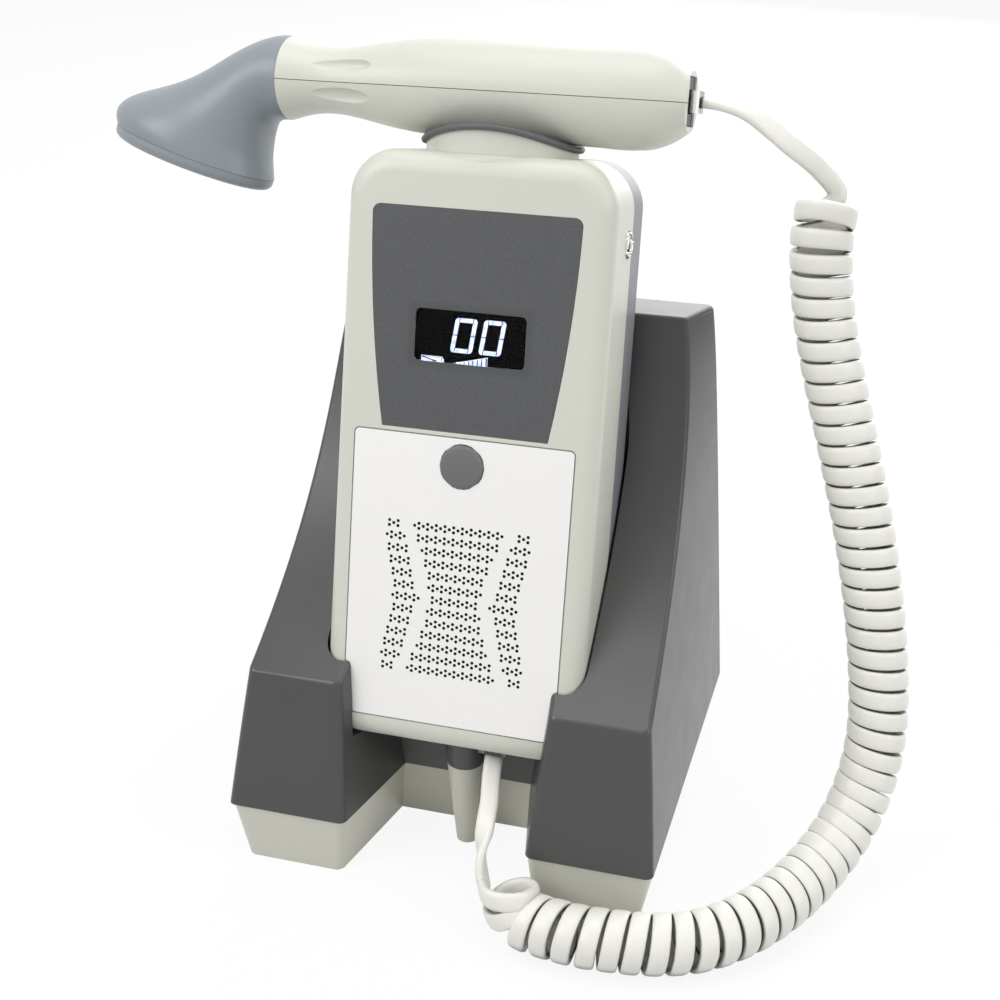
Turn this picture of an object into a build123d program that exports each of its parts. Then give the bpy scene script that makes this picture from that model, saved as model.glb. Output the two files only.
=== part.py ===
"""A vascular doppler: a console that stands leaning back in its charging stand, with the
probe laid across the saddle on top and a curly cord from the probe's tail to the socket
under the console.

Frame: millimetres, +Z up, the front faces -Y, +X is the viewer's right. The origin is the
middle of the stand's footprint, on the surface that it stands on. The console and the
probe are drawn in the console's own frame, x across, y from the front face back, z up
along the lean from the console's underside, and then leaned into the stand.
"""
from build123d import *
import math
import os

os.makedirs("parts", exist_ok=True)

# Stand: outline at the base, at the crest of the feet and at the top
base_height = 21.4
base_step = 0.6
foot_front = -65.5
stand_back = 65.4
half_width_front = 73.1
half_width_back = 74.7
crest_height = 68.0
crest_y = -53.0
top_height = 174.2
top_front = 33.5
top_back = 50.8
side_taper_front = 14.5
side_taper_back = 7.9
top_half_width_front = half_width_front - side_taper_front
top_half_width_back = half_width_back - side_taper_back
sweep_sag = 18.1
sweep_skew = 19.0
corner_round = 2.6
edge_round = 1.6
lip_round = 3.0
base_corner_round = 3.6
stand_wall = 3.0
base_draft_front = 2.0
base_draft_side = 4.7
base_draft_back = 3.0
base_floor = 3.0

# Recess between the feet, and the tongue that stands in it
recess_half_front = 31.3
recess_half_back = 22.8
recess_half_at_crest = 35.4
recess_back = -26.6
recess_draft = 2.8
tongue_x = 2.0
tongue_split = 33.5
tongue_width_top = 12.6
tongue_width_foot = 7.5
tongue_front_top = -41.3
tongue_front_foot = -37.3
tongue_gap = 0.3

# Console
lean = 13.2
console_y = -50.9
console_z = 47.4
console_width = 87.6
console_width_top = 85.4
console_height = 192.0
console_depth = 51.0
shell_split = 30.0
split_gap = 0.3
top_corner = 15.0
foot_corner = 12.0
front_round = 6.5
rear_round = 7.0
shell_wall = 2.5
lip_thickness = 1.2
lip_length = 1.6
seat_clearance = 0.3
side_clearance = 0.6

# Front panel
plate_width = 72.0
plate_height = 95.9
plate_foot = 8.5
plate_thickness = 0.9
plate_gap = 0.45
plate_corner = 1.5
overlay_half_foot = 27.05
overlay_half_top = 33.3
overlay_half_middle = 31.6
overlay_gap = 1.8
overlay_height = 69.0
overlay_foot = plate_foot + plate_height + overlay_gap
overlay_top = overlay_foot + overlay_height
overlay_corner = 2.5
overlay_thickness = 0.4
window_width = 36.0
window_height = 16.5
window_rise = 29.9
window_z = overlay_foot + window_rise
window_corner = 1.8
lens_thickness = 1.6
speaker_z = 52.0
speaker_diameter = 50.0
speaker_depth = 15.0

# Power button
button_diameter = 14.1
button_z = 95.5
button_proud = 1.8
button_gap = 0.3
button_flange = 1.5
button_flange_thickness = 1.0
button_travel = 0.8
button_stem = 4.0
switch_gap = 0.1

# Saddle post and its rubber rim
post_diameter = 48.4
saddle_low = 195.7
saddle_radius = 60.0
rim_thickness = 1.7
rim_overhang = 0.9

# Probe, laid along the console's x across the saddle
probe_joint_x = -72.0
probe_tail_x = 58.5
probe_barrel_x = 44.0
probe_height = 30.8
probe_depth = 34.0
probe_wall = 2.2
probe_seat = 0.3
probe_split_drop = 0.6
finger_depth = 0.9
tail_height = 18.5
tail_depth = 25.2
tail_insert_height = 14.8
tail_insert_depth = 12.8
tail_insert_length = 10.0
tail_insert_sink = 0.6
face_tilt = 16.8
face_length = 56.0
face_depth = 42.0
face_thickness = 3.9
face_centre_x = -105.9
face_centre_below = 25.1
face_gap = 0.1

# Modular sockets, plugs and the cord
plug_width = 9.65
plug_height = 6.6
plug_length = 12.0
plug_out = 3.6
plug_gap = 0.3
socket_wall = 1.8
socket_x = 14.7
socket_y = 8.5
wire = 4.6
coil_turns = 48
coil_outside = 19.4
coil_lead = 0.75
coil_lead_length = 13.0

# Headphone jack on the right side
jack_y = 24.0
jack_z = 167.0
jack_recess = 9.0
jack_recess_depth = 1.6
jack_bore = 3.6
jack_barrel = 6.0

# Boards, cells and fasteners
board_thickness = 1.6
board_y = 10.0
board_width = 72.0
board_foot = 87.0
board_top = 184.0
boss_diameter = 6.0
screw_diameter = 3.0
screw_head = 5.6
screw_head_height = 2.2
screw_well = 5.0
cell_diameter = 14.2
cell_length = 50.0
cell_count = 4
tray_wall = 1.2
cover_width = 66.0
cover_height = 60.0
cover_foot = 22.0
cover_gap = 0.3
pad_diameter = 6.0
pad_spacing = 18.0
pad_y = 38.0
pin_diameter = 2.0
inlet_width = 9.0
inlet_height = 11.0
inlet_depth = 14.0
inlet_z = 12.0
inlet_bore = 6.4
inlet_pin = 2.1
foot_pad_diameter = 12.0
foot_pad_depth = 1.6

console_frame = Location((0, console_y, console_z), (-lean, 0, 0))
post_y = console_depth / 2
probe_axis_z = saddle_low + probe_seat + probe_height / 2


def lean_back(shape):
    """Takes a shape from the console's own frame into the stand."""
    return console_frame * shape


def console_point(x, y, z):
    """A point of the console's own frame, in the stand's."""
    return (console_frame * Location((x, y, z))).position


def front_plane(y):
    """Sketch plane parallel to the console's face: x across, y of the sketch up."""
    return Plane(origin=(0, y, 0), x_dir=(1, 0, 0), z_dir=(0, -1, 0))


def rod(radius, length, x, y, z, axis="Z"):
    """A cylinder that starts at a point and runs along +X, +Y or +Z."""
    turn = {"Z": (0, 0, 0), "Y": (-90, 0, 0), "X": (0, 90, 0)}[axis]
    bar = Cylinder(radius, length, align=(Align.CENTER, Align.CENTER, Align.MIN))
    return Location((x, y, z), turn) * bar


def block(x0, x1, y0, y1, z0, z1):
    """A box between two corners."""
    size = Box(x1 - x0, y1 - y0, z1 - z0, align=(Align.MIN, Align.MIN, Align.MIN))
    return Pos(x0, y0, z0) * size


# The stand

def stand_profile(inset=0.0):
    """Side view of the stand above its base, drawn down past the base's joint. The wing's
    front edge is a cubic: a straight line from the crest to the top with a sag
    s(1 - s) and a skew s(1 - s)(1 - 2s) laid on it. An inset moves the front edges back
    and down, and the rear edge forwards."""
    run = top_front - crest_y
    rise = top_height - crest_height
    pull_low = (crest_y + (run + 4 * sweep_sag + sweep_skew) / 3, crest_height + rise / 3)
    pull_high = (top_front - (run - 4 * sweep_sag + sweep_skew) / 3,
                 crest_height + 2 * rise / 3)
    foot_slope = (crest_y - foot_front) / (crest_height - base_height)
    rear_slope = (top_back - stand_back) / (top_height - base_height)
    below = 30.0
    low = base_height - below
    low_front = (foot_front - below * foot_slope + inset, low)
    low_back = (stand_back - below * rear_slope - inset, low)
    curve = [(crest_y, crest_height), pull_low, pull_high, (top_front, top_height)]
    curve = [(y + inset, z - inset) for y, z in curve]
    corner = (top_back - inset, top_height - inset)
    foot = Line(low_front, curve[0])
    wing = Bezier(*curve)
    top = Line(curve[-1], corner)
    rear = Line(corner, low_back)
    close = Line(low_back, low_front)
    return make_face(Curve() + [foot, wing, top, rear, close])


def stand_sides(inset=0.0):
    """The block between the stand's two sides. Each side is ruled between a line at the
    base and a line at the top, both drawn on past the stand's front."""
    sections = []
    for z in (base_height, top_height + 5.0):
        share = (z - base_height) / (top_height - base_height)
        front = foot_front + (top_front - foot_front) * share
        rear = stand_back + (top_back - stand_back) * share
        half_front = half_width_front + (top_half_width_front - half_width_front) * share
        half_rear = half_width_back + (top_half_width_back - half_width_back) * share
        spread = (half_rear - half_front) / (rear - front)
        ahead = 0.35 * (rear - front)
        behind = 0.08 * (rear - front)
        low = half_front - spread * ahead - inset
        high = half_rear + spread * behind - inset
        corners = [(-low, front - ahead), (low, front - ahead),
                   (high, rear + behind), (-high, rear + behind)]
        sections.append(make_face(Plane.XY.offset(z) * Polyline(*corners, close=True)))
    return loft(sections, ruled=True)


def stand_form(inset=0.0):
    """The stand above its base, sharp-edged. An inset gives the hollow inside its walls."""
    side_view = Plane.YZ.offset(-100) * stand_profile(inset)
    return extrude(side_view, 200) & stand_sides(inset)


def plan(z, front, rear, half_front, half_rear, corner):
    """A level section of the base with rounded corners."""
    corners = [(-half_front, front), (half_front, front), (half_rear, rear), (-half_rear, rear)]
    face = make_face(Plane.XY.offset(z) * Polyline(*corners, close=True))
    return fillet(face.vertices(), corner)


def recess_plan(z, wider, back):
    """Level section of the recess between the feet, which narrows to the back."""
    ahead = foot_front - 15.0
    slope = (recess_half_front - recess_half_back) / (recess_back - foot_front)
    front_half = recess_half_front + slope * (foot_front - ahead) + wider
    rear_half = recess_half_back + wider
    corners = [(-front_half, ahead), (front_half, ahead), (rear_half, back), (-rear_half, back)]
    return make_face(Plane.XY.offset(z) * Polyline(*corners, close=True))


def recess_form(grow=0.0):
    """What the recess takes from the stand above its base: it widens upwards."""
    slope = (recess_half_front - recess_half_back) / (recess_back - foot_front)
    at_crest = recess_half_front - slope * (crest_y - foot_front)
    flare = (recess_half_at_crest - at_crest) / (crest_height - base_height)
    sections = []
    for z in (base_height - 5.0, crest_height + 25.0):
        wider = flare * (z - base_height) + grow
        sections.append(recess_plan(z, wider, recess_back + grow))
    return loft(sections, ruled=True)


def tongue_section(z, grow=0.0):
    """Level section of the tongue: straight sides and a half-round front."""
    share = z / tongue_split
    width = tongue_width_foot + (tongue_width_top - tongue_width_foot) * share + 2 * grow
    front = tongue_front_foot + (tongue_front_top - tongue_front_foot) * share - grow
    half = width / 2
    left = Line((tongue_x - half, recess_back + 1.5), (tongue_x - half, front + half))
    nose = ThreePointArc((tongue_x - half, front + half), (tongue_x, front),
                         (tongue_x + half, front + half))
    right = Line((tongue_x + half, front + half), (tongue_x + half, recess_back + 1.5))
    close = Line((tongue_x + half, recess_back + 1.5), (tongue_x - half, recess_back + 1.5))
    return make_face(Plane.XY.offset(z) * (Curve() + [left, nose, right, close]))


def tongue(z0, z1, grow=0.0):
    return loft([tongue_section(z0, grow), tongue_section(z1, grow)], ruled=True)


def console_prism(grow, low, high):
    """The room that the console takes on its way in and out along the lean."""
    half = console_width / 2 + grow
    outline = Pos(0, console_depth / 2) * Rectangle(2 * half, console_depth + 2 * grow)
    front = outline.vertices().sort_by(Axis.Y)[:2]
    outline = fillet(front, front_round)
    rear = outline.vertices().sort_by(Axis.Y)[-2:]
    outline = fillet(rear, rear_round)
    return Pos(0, 0, low) * extrude(outline, high - low)


boss_places = [(-60.0, -44.0), (60.0, -44.0), (-60.0, 46.0), (60.0, 46.0)]
pin_places = [(-pad_spacing / 2, pad_y), (pad_spacing / 2, pad_y)]
way_up = 260.0


def stands_up(edge):
    return abs((edge @ 0).Z - (edge @ 1).Z) > crest_height / 3


def rounded_stand():
    """The stand above its base with the recess cut: first the inner edges of the feet are
    rounded, then the outer corners, then the tighter edges along crest, wings and top."""
    form = stand_form() - recess_form()
    lips = [e for e in form.edges() if stands_up(e) and max((e @ 0).Y, (e @ 1).Y) < crest_y + 2
            and (e @ 0.5).Y < crest_y and abs((e @ 0.5).X) < recess_half_at_crest]
    form = fillet(lips, lip_round)
    corners = [e for e in form.edges() if stands_up(e) and abs((e @ 0.5).X) > top_half_width_front
               and not crest_y < (e @ 0.5).Y < top_back]
    form = fillet(corners, corner_round)
    tight = [e for e in form.edges() if min((e @ 0).Z, (e @ 1).Z) > crest_height - 0.5
             and not ((e @ 0.5).Y < 0 and abs((e @ 0.5).X) < recess_half_back)
             and not (stands_up(e) and abs((e @ 0.5).X) < recess_half_at_crest)]
    return fillet(tight, edge_round)


def stand_upper_shell():
    """Hollow shell of the stand: rounded outside edges, a pocket for the console along
    the lean, the recess between the feet and the top of the tongue under the console."""
    form = rounded_stand()
    above = block(-100, 100, -100, 100, base_height, top_height + 1)
    form &= above
    pocket = lean_back(console_prism(side_clearance, -seat_clearance, way_up))
    kept = lean_back(console_prism(side_clearance + stand_wall,
                                   -seat_clearance - stand_wall, way_up))
    hollow = stand_form(stand_wall) - kept - recess_form(stand_wall)
    shell = form - hollow - pocket
    nose = tongue(tongue_split, crest_height) - pocket
    nose &= block(-60, 60, foot_front, recess_back + 1.0, tongue_split, console_z)
    shell += nose
    for x, y in boss_places:
        post = rod(boss_diameter / 2 + 1.0, 16.0, x, y, base_height)
        rib = block(min(x, x * 1.25), max(x, x * 1.25), y - 1, y + 1, base_height,
                    base_height + 16.0) & form
        shell += (post + rib) - rod(screw_diameter / 2 - 0.2, 14.0, x, y, base_height)
    for x, y in pin_places:
        shell -= lean_back(rod(pin_diameter / 2 + 0.4, 2 * stand_wall + 2.0, x, y,
                               -seat_clearance - 2 * stand_wall))
    return shell


def base_form(inset=0.0):
    """The base: a drafted slab, a hair smaller than the shell above at their joint."""
    step = base_step + inset
    top = plan(base_height, foot_front + step, stand_back - step,
               half_width_front - step, half_width_back - step, base_corner_round)
    foot = plan(0, foot_front + base_draft_front + inset,
                stand_back - base_draft_back - inset,
                half_width_front - base_draft_side - inset,
                half_width_back - base_draft_side - inset, base_corner_round)
    return loft([foot, top], ruled=True)


def base_recess(grow=0.0):
    """The recess through the base: it opens a little towards the floor."""
    foot = recess_plan(0.0, recess_draft + grow, recess_back + recess_draft + grow)
    top = recess_plan(base_height, base_step + grow, recess_back + base_step + grow)
    return loft([foot, top], ruled=True)


pad_places = [(-52.0, -54.0), (52.0, -54.0), (-50.0, 54.0), (50.0, 54.0)]
screw_sink = 2.6
inlet_rear = stand_back - base_draft_back / 2


def stand_base():
    """Tray-shaped base with the foot of the tongue, four screw posts and pockets for
    the rubber feet."""
    base = base_form() - base_recess()
    lips = [e for e in base.edges() if abs((e @ 0).Z - (e @ 1).Z) > base_height / 2
            and (e @ 0.5).Y < crest_y and abs((e @ 0.5).X) < recess_half_at_crest + base_draft_side]
    base = fillet(lips, lip_round)
    room = base_form(stand_wall) - base_recess(stand_wall)
    base -= room & block(-90, 90, -90, 90, base_floor, base_height + 1)
    front = tongue(0, tongue_split - 0.1)
    above = block(-half_width_front, half_width_front, recess_back - tongue_gap, stand_back,
                  base_height - 0.01, crest_height)
    base += front - above
    for x, y in boss_places:
        post = rod(boss_diameter / 2 + 1.0, base_height, x, y, 0)
        base += post
        base -= rod(screw_diameter / 2 + 0.2, base_height + 1, x, y, 0)
        base -= rod(screw_head / 2 + 0.3, screw_sink, x, y, 0)
    for x, y in pad_places:
        base -= rod(foot_pad_diameter / 2 + 0.1, foot_pad_depth, x, y, 0)
    base -= inlet_block(0.2)
    return base


def inlet_block(grow=0.0):
    """The body of the power inlet, let into the rear wall of the base."""
    return block(-inlet_width / 2 - grow, inlet_width / 2 + grow,
                 inlet_rear - inlet_depth - grow, inlet_rear + 10 * grow,
                 inlet_z - inlet_height / 2 - grow, inlet_z + inlet_height / 2 + grow)


def dc_inlet():
    start = inlet_rear - inlet_depth + 3
    body = inlet_block() - rod(inlet_bore / 2, inlet_depth, 0, start, inlet_z, "Y")
    return body + rod(inlet_pin / 2, inlet_depth - 4, 0, start, inlet_z, "Y")


def stand_feet():
    pads = [rod(foot_pad_diameter / 2, foot_pad_depth, x, y, 0) for x, y in pad_places]
    return Compound(children=pads)


def screw(length, x, y, z):
    """A pan-head screw, head down, that runs up from z."""
    return rod(screw_head / 2, screw_head_height, x, y, z) + \
        rod(screw_diameter / 2 - 0.2, length, x, y, z + screw_head_height)


def stand_screws():
    z = screw_sink - screw_head_height
    return Compound(children=[screw(base_height + 4.0, x, y, z) for x, y in boss_places])


charger_board_z = base_floor + 4.0
charger_board_width = 68.0
charger_board_front = 4.0
charger_coil = 12.0


def charger_board():
    """The charger's board on its four pillars from the base's floor."""
    half = charger_board_width / 2
    rear = inlet_rear - inlet_depth - seat_clearance
    face = charger_board_z + board_thickness
    board = block(-half, half, charger_board_front, rear, charger_board_z, face)
    parts = block(-0.7 * half, -0.35 * half, charger_board_front + 0.12 * charger_board_width,
                  charger_board_front + 0.35 * charger_board_width, face, face + 4 * board_thickness)
    coil = rod(charger_coil / 2, charger_coil / 2, half / 2,
               charger_board_front + 0.26 * charger_board_width, face)
    pillars = [rod(boss_diameter / 2 - 0.5, charger_board_z - base_floor, x, y, base_floor)
               for x in (-half + boss_diameter, half - boss_diameter)
               for y in (charger_board_front + boss_diameter, rear - boss_diameter)]
    return board + parts + coil + pillars


def contact_block():
    """The holder of the charging pins, under the floor of the pocket."""
    half = pad_spacing / 2 + 4.0
    under = -seat_clearance - stand_wall
    body = block(-half, half, pad_y - 4, pad_y + 4, under - 7.0, under)
    for x, y in pin_places:
        body -= rod(pin_diameter / 2 + 0.05, 9.0, x, y, under - 8.0)
    return lean_back(body)


def charge_contacts():
    """Two sprung pins that reach up through the pocket's floor to the console's pads."""
    under = -seat_clearance - stand_wall
    pins = []
    for x, y in pin_places:
        pin = rod(pin_diameter / 2, stand_wall + 7.0, x, y, under - 7.0)
        pins.append(lean_back(pin))
    return Compound(children=pins)


# The console

def console_outline(grow=0.0):
    """Front view of the console: a little narrower at the top, with rounded corners."""
    low = console_width / 2
    high = console_width_top / 2
    corners = [(-low, 0), (low, 0), (high, console_height), (-high, console_height)]
    face = make_face(Polyline(*corners, close=True))
    face = fillet(face.vertices().sort_by(Axis.Y)[-2:], top_corner)
    face = fillet(face.vertices().sort_by(Axis.Y)[:2], foot_corner)
    if grow:
        face = offset(face, grow)
    return face


def console_solid():
    """The closed housing: big soft front edge, smaller round at the rear."""
    body = extrude(front_plane(0) * console_outline(), -console_depth)
    body = fillet(body.faces().sort_by(Axis.Y)[0].edges(), front_round)
    return fillet(body.faces().sort_by(Axis.Y)[-1].edges(), rear_round)


def console_hollow():
    inner = extrude(front_plane(shell_wall) * console_outline(-shell_wall),
                    -(console_depth - 2 * shell_wall))
    inner = fillet(inner.faces().sort_by(Axis.Y)[0].edges(), front_round - shell_wall)
    return fillet(inner.faces().sort_by(Axis.Y)[-1].edges(), rear_round - shell_wall)


def ring(outer, inner, y0, y1):
    """A frame that follows the console's outline between two insets."""
    band = console_outline(-outer) - console_outline(-inner)
    return extrude(front_plane(y0) * band, -(y1 - y0))


def overlay_outline(grow=0.0):
    """The panel round the display: straight top and foot, gently bowed sides."""
    middle = (overlay_foot + overlay_top) / 2
    foot = Line((-overlay_half_foot, overlay_foot), (overlay_half_foot, overlay_foot))
    right = ThreePointArc((overlay_half_foot, overlay_foot), (overlay_half_middle, middle),
                          (overlay_half_top, overlay_top))
    top = Line((overlay_half_top, overlay_top), (-overlay_half_top, overlay_top))
    left = ThreePointArc((-overlay_half_top, overlay_top), (-overlay_half_middle, middle),
                         (-overlay_half_foot, overlay_foot))
    face = make_face(Curve() + [foot, right, top, left])
    face = fillet(face.vertices().sort_by(Axis.Y)[-2:], overlay_corner)
    if grow:
        face = offset(face, grow)
    return face


def window(grow=0.0):
    face = RectangleRounded(window_width + 2 * grow, window_height + 2 * grow,
                            window_corner + grow)
    return Pos(0, window_z) * face


def plate_outline(grow=0.0):
    face = RectangleRounded(plate_width + 2 * grow, plate_height + 2 * grow,
                            plate_corner + grow)
    return Pos(0, plate_foot + plate_height / 2) * face


board_bosses = [(-32.0, 92.0), (32.0, 92.0), (-32.0, 152.0), (32.0, 152.0)]
shell_bosses = [(-35.5, 12.0), (35.5, 12.0), (-30.0, 179.0), (30.0, 179.0)]


def jack_opening(radius, x0, x1):
    return rod(radius, x1 - x0, x0, jack_y, jack_z, "X")


def console_side(z):
    """Half width of the console at a height."""
    share = z / console_height
    return (console_width + (console_width_top - console_width) * share) / 2


def socket_opening(grow, z0, z1):
    half = plug_width / 2 + grow
    deep = plug_height / 2 + grow
    return block(socket_x - half, socket_x + half, socket_y - deep, socket_y + deep, z0, z1)


def front_shell():
    shell = console_solid() - console_hollow()
    keep = block(-90, 90, -1, shell_split - split_gap / 2, -5, console_height + 5)
    shell &= keep
    shell += ring(shell_wall - lip_thickness, shell_wall,
                  shell_split - split_gap / 2 - 3.0, shell_split - split_gap / 2 + lip_length)
    shell -= extrude(front_plane(0) * plate_outline(plate_gap), -plate_thickness)
    shell -= extrude(front_plane(0) * overlay_outline(0.15), -overlay_thickness)
    shell -= extrude(front_plane(0) * window(0.15), -shell_wall)
    shell -= rod(button_diameter / 2 + button_gap, shell_wall + 1, 0, -0.5, button_z, "Y")
    shell -= rod(speaker_diameter / 2, shell_wall + 1, 0, -0.5, speaker_z, "Y")
    for x, z in board_bosses:
        boss = rod(boss_diameter / 2, board_y - shell_wall, x, shell_wall, z, "Y")
        shell += boss - rod(screw_diameter / 2 - 0.4, board_y, x, shell_wall + 1, z, "Y")
    for post in screw_posts():
        shell += post
    shell -= jack_opening(jack_recess / 2, console_side(jack_z) - jack_recess_depth, 60)
    shell -= jack_opening(jack_barrel / 2 + 0.2, console_side(jack_z) - 6, 60)
    shell -= socket_opening(0.6, -1, shell_wall + 0.5)
    return lean_back(shell)


def cover_outline(grow=0.0):
    face = RectangleRounded(cover_width + 2 * grow, cover_height + 2 * grow, 4 + grow)
    return Pos(0, cover_foot + cover_height / 2) * face


cover_thickness = 2.2
ledge_y = console_depth - cover_thickness - 2.2


def rear_shell():
    shell = console_solid() - console_hollow()
    keep = block(-90, 90, shell_split + split_gap / 2, 90, -5, console_height + 5)
    shell &= keep
    room = console_outline(-(shell_wall - lip_thickness - 0.1))
    shell -= extrude(front_plane(shell_split) * room, -(split_gap / 2 + lip_length + 0.2))
    ledge = cover_outline(1.5)
    shell += extrude(front_plane(ledge_y) * ledge, -(console_depth - cover_thickness - ledge_y))
    opening = extrude(front_plane(console_depth - cover_thickness) *
                      cover_outline(cover_gap), -(cover_thickness + 1))
    shell -= opening
    shell -= extrude(front_plane(ledge_y - 5) * cover_outline(-2.5), -20)
    for x, z in shell_bosses:
        start = shell_split + 2.5
        boss = rod(screw_head / 2 + 1.5, console_depth - shell_wall - start, x, start, z, "Y")
        shell += boss
        shell -= rod(screw_head / 2 + 0.3, screw_well + 1, x, console_depth - screw_well, z, "Y")
        shell -= rod(screw_diameter / 2 + 0.2, console_depth, x, start - 1, z, "Y")
    for x, y in pin_places:
        shell -= rod(pad_diameter / 2 + 0.05, 1.0, x, y, 0)
    return lean_back(shell)


def shell_screws():
    """Four screws through the rear shell, heads at the bottom of their wells."""
    screws = []
    for x, z in shell_bosses:
        seat = console_depth - screw_well
        head = rod(screw_head / 2, screw_head_height, x, seat, z, "Y")
        shank = rod(screw_diameter / 2 - 0.2, 20.0, x, seat - 20.0, z, "Y")
        screws.append(lean_back(head + shank))
    return Compound(children=screws)


def screw_posts():
    """Where the shell screws bite: posts that the front shell's screws end in."""
    posts = []
    for x, z in shell_bosses:
        post = rod(boss_diameter / 2, shell_split + 2.3 - shell_wall, x, shell_wall, z, "Y")
        posts.append(post - rod(screw_diameter / 2 - 0.15, 30, x, console_depth - 26, z, "Y"))
    return posts


def graphic_overlay():
    panel = overlay_outline() - window()
    return lean_back(extrude(front_plane(0) * panel, -overlay_thickness))


def display_lens():
    outer = extrude(front_plane(overlay_thickness + 0.5) * window(-0.05), -lens_thickness)
    return lean_back(outer)


lcd_depth = 4.4


def lcd_module():
    """The glass of the display in its bezel, on two pillars from the board."""
    front = shell_wall + 0.1
    body = block(-window_width / 2 - 3, window_width / 2 + 3, front, front + lcd_depth,
                 window_z - window_height / 2 - 5, window_z + window_height / 2 + 5)
    legs = [rod(1.5, board_y - front - lcd_depth, x, front + lcd_depth, window_z, "Y")
            for x in (-15, 15)]
    return lean_back(body + legs)


def grille_plate():
    plate = extrude(front_plane(0) * plate_outline(), -plate_thickness)
    plate -= rod(button_diameter / 2 + button_gap, 3, 0, -1, button_z, "Y")
    return lean_back(plate)


def speaker():
    """A round loudspeaker: flange against the shell, basket and magnet behind it."""
    radius = speaker_diameter / 2 + 5
    flange = rod(radius, 1.6, 0, shell_wall, speaker_z, "Y")
    cone = Location((0, shell_wall + 1.6, speaker_z), (-90, 0, 0)) * Cone(
        speaker_diameter / 2, 14, speaker_depth - 8.6,
        align=(Align.CENTER, Align.CENTER, Align.MIN))
    dish = Location((0, shell_wall, speaker_z), (-90, 0, 0)) * Cone(
        speaker_diameter / 2 - 2, 8, speaker_depth - 9,
        align=(Align.CENTER, Align.CENTER, Align.MIN))
    magnet = rod(14, 7, 0, shell_wall + speaker_depth - 7, speaker_z, "Y")
    return lean_back(flange + cone + magnet - dish)


def main_board():
    board = block(-board_width / 2, board_width / 2, board_y, board_y + board_thickness,
                  board_foot, board_top)
    for x, z in board_bosses + shell_bosses:
        board -= rod(screw_diameter / 2 + 0.2, 4, x, board_y - 1, z, "Y")
    for x, z in shell_bosses:
        board -= rod(boss_diameter / 2 + 0.5, 4, x, board_y - 1, z, "Y")
    rear = board_y + board_thickness
    rise = board_top - board_foot
    board += block(-0.2 * board_width, 0.05 * board_width, rear, rear + 1.6 * board_thickness,
                   board_foot + 0.55 * rise, board_foot + 0.73 * rise)
    board += block(0.14 * board_width, 0.3 * board_width, rear, rear + 1.1 * board_thickness,
                   board_foot + 0.32 * rise, board_foot + 0.44 * rise)
    board += rod(0.07 * board_width, 0.15 * board_width, -board_width / 3, rear,
                 board_foot + 0.34 * rise, "Y")
    return lean_back(board)


def board_screws():
    screws = []
    for x, z in board_bosses:
        head = rod(screw_head / 2, 1.8, x, board_y + board_thickness, z, "Y")
        shank = rod(screw_diameter / 2 - 0.4, 6.5, x, board_y + board_thickness - 6.5, z, "Y")
        screws.append(lean_back(head + shank))
    return Compound(children=screws)


button_back = shell_wall + 0.1 + button_flange_thickness


def power_button():
    """Domed cap, with a flange behind the shell that keeps it in and a short stem."""
    radius = button_diameter / 2
    cap = rod(radius, button_proud + shell_wall + 0.6, 0, -button_proud, button_z, "Y")
    cap = fillet(cap.faces().sort_by(Axis.Y)[0].edges(), 1.1)
    cap += rod(radius + button_flange, button_flange_thickness, 0, shell_wall + 0.1,
               button_z, "Y")
    cap += rod(button_stem / 2, 1.2, 0, button_back, button_z, "Y")
    return lean_back(cap)


def button_switch():
    """The switch on the board, a travel and a hair behind the stem."""
    tip = button_back + 1.2 + button_travel + switch_gap
    body = block(-3.1, 3.1, tip + 0.8, board_y, button_z - 3.1, button_z + 3.1)
    return lean_back(body + rod(1.7, 1.2, 0, tip, button_z, "Y"))


def headphone_jack():
    """Socket body inside the wall, its barrel through to the recess."""
    side = console_side(jack_z)
    barrel = jack_opening(jack_barrel / 2, side - shell_wall - 1, side - jack_recess_depth + 0.6)
    body = block(side - shell_wall - 13, side - shell_wall - 0.3,
                 board_y + board_thickness, jack_y + 5, jack_z - 5.5, jack_z + 5.5)
    bore = jack_opening(jack_bore / 2, side - shell_wall - 12, side + 1)
    return lean_back(body + barrel - bore)


def headphone_nut():
    """The knurled ring that clamps the socket, in its recess."""
    side = console_side(jack_z)
    nut = jack_opening(jack_recess / 2 - 0.6, side - jack_recess_depth, side - 0.2)
    return lean_back(nut - jack_opening(jack_barrel / 2 + 0.05, side - 3, side + 1))


def modular_socket(height):
    """An open-ended box for a modular plug, its mouth at z = 0 and facing down."""
    half = plug_width / 2 + plug_gap + socket_wall
    deep = plug_height / 2 + plug_gap + socket_wall
    body = block(-half, half, -deep, deep, 0, height)
    mouth = block(plug_gap - half + socket_wall - plug_gap, half - socket_wall,
                  -deep + socket_wall, deep - socket_wall, -1, plug_length - plug_out + 0.3)
    return body - mouth


def modular_plug(length):
    """A clear plug: body, step to the cord and the latch along one side.
    It points up; the cord leaves at z = 0."""
    body = block(-plug_width / 2, plug_width / 2, -plug_height / 2, plug_height / 2,
                 0, length)
    body -= block(-2.2, 2.2, -plug_height / 2 - 1, -plug_height / 2 + 0.8, 2.5, length - 2.5)
    latch = block(-1.6, 1.6, -plug_height / 2 - 0.2, -plug_height / 2 + 0.8, 2.0, length - 2.0)
    return body + latch


def cord_socket():
    place = Pos(socket_x, socket_y, shell_wall)
    return lean_back(place * modular_socket(15.0) & console_hollow())


def unit_plug():
    place = Pos(socket_x, socket_y, shell_wall - plug_out)
    return lean_back(place * modular_plug(plug_length))


tray_y = console_depth - cover_thickness - 1.0 - cell_diameter - 0.3 - tray_wall
tray_half = cell_count * (cell_diameter + 0.3) / 2 + 1.0
tray_foot = cover_foot + 1.5
tray_top = cover_foot + cover_height - 1.5


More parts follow.
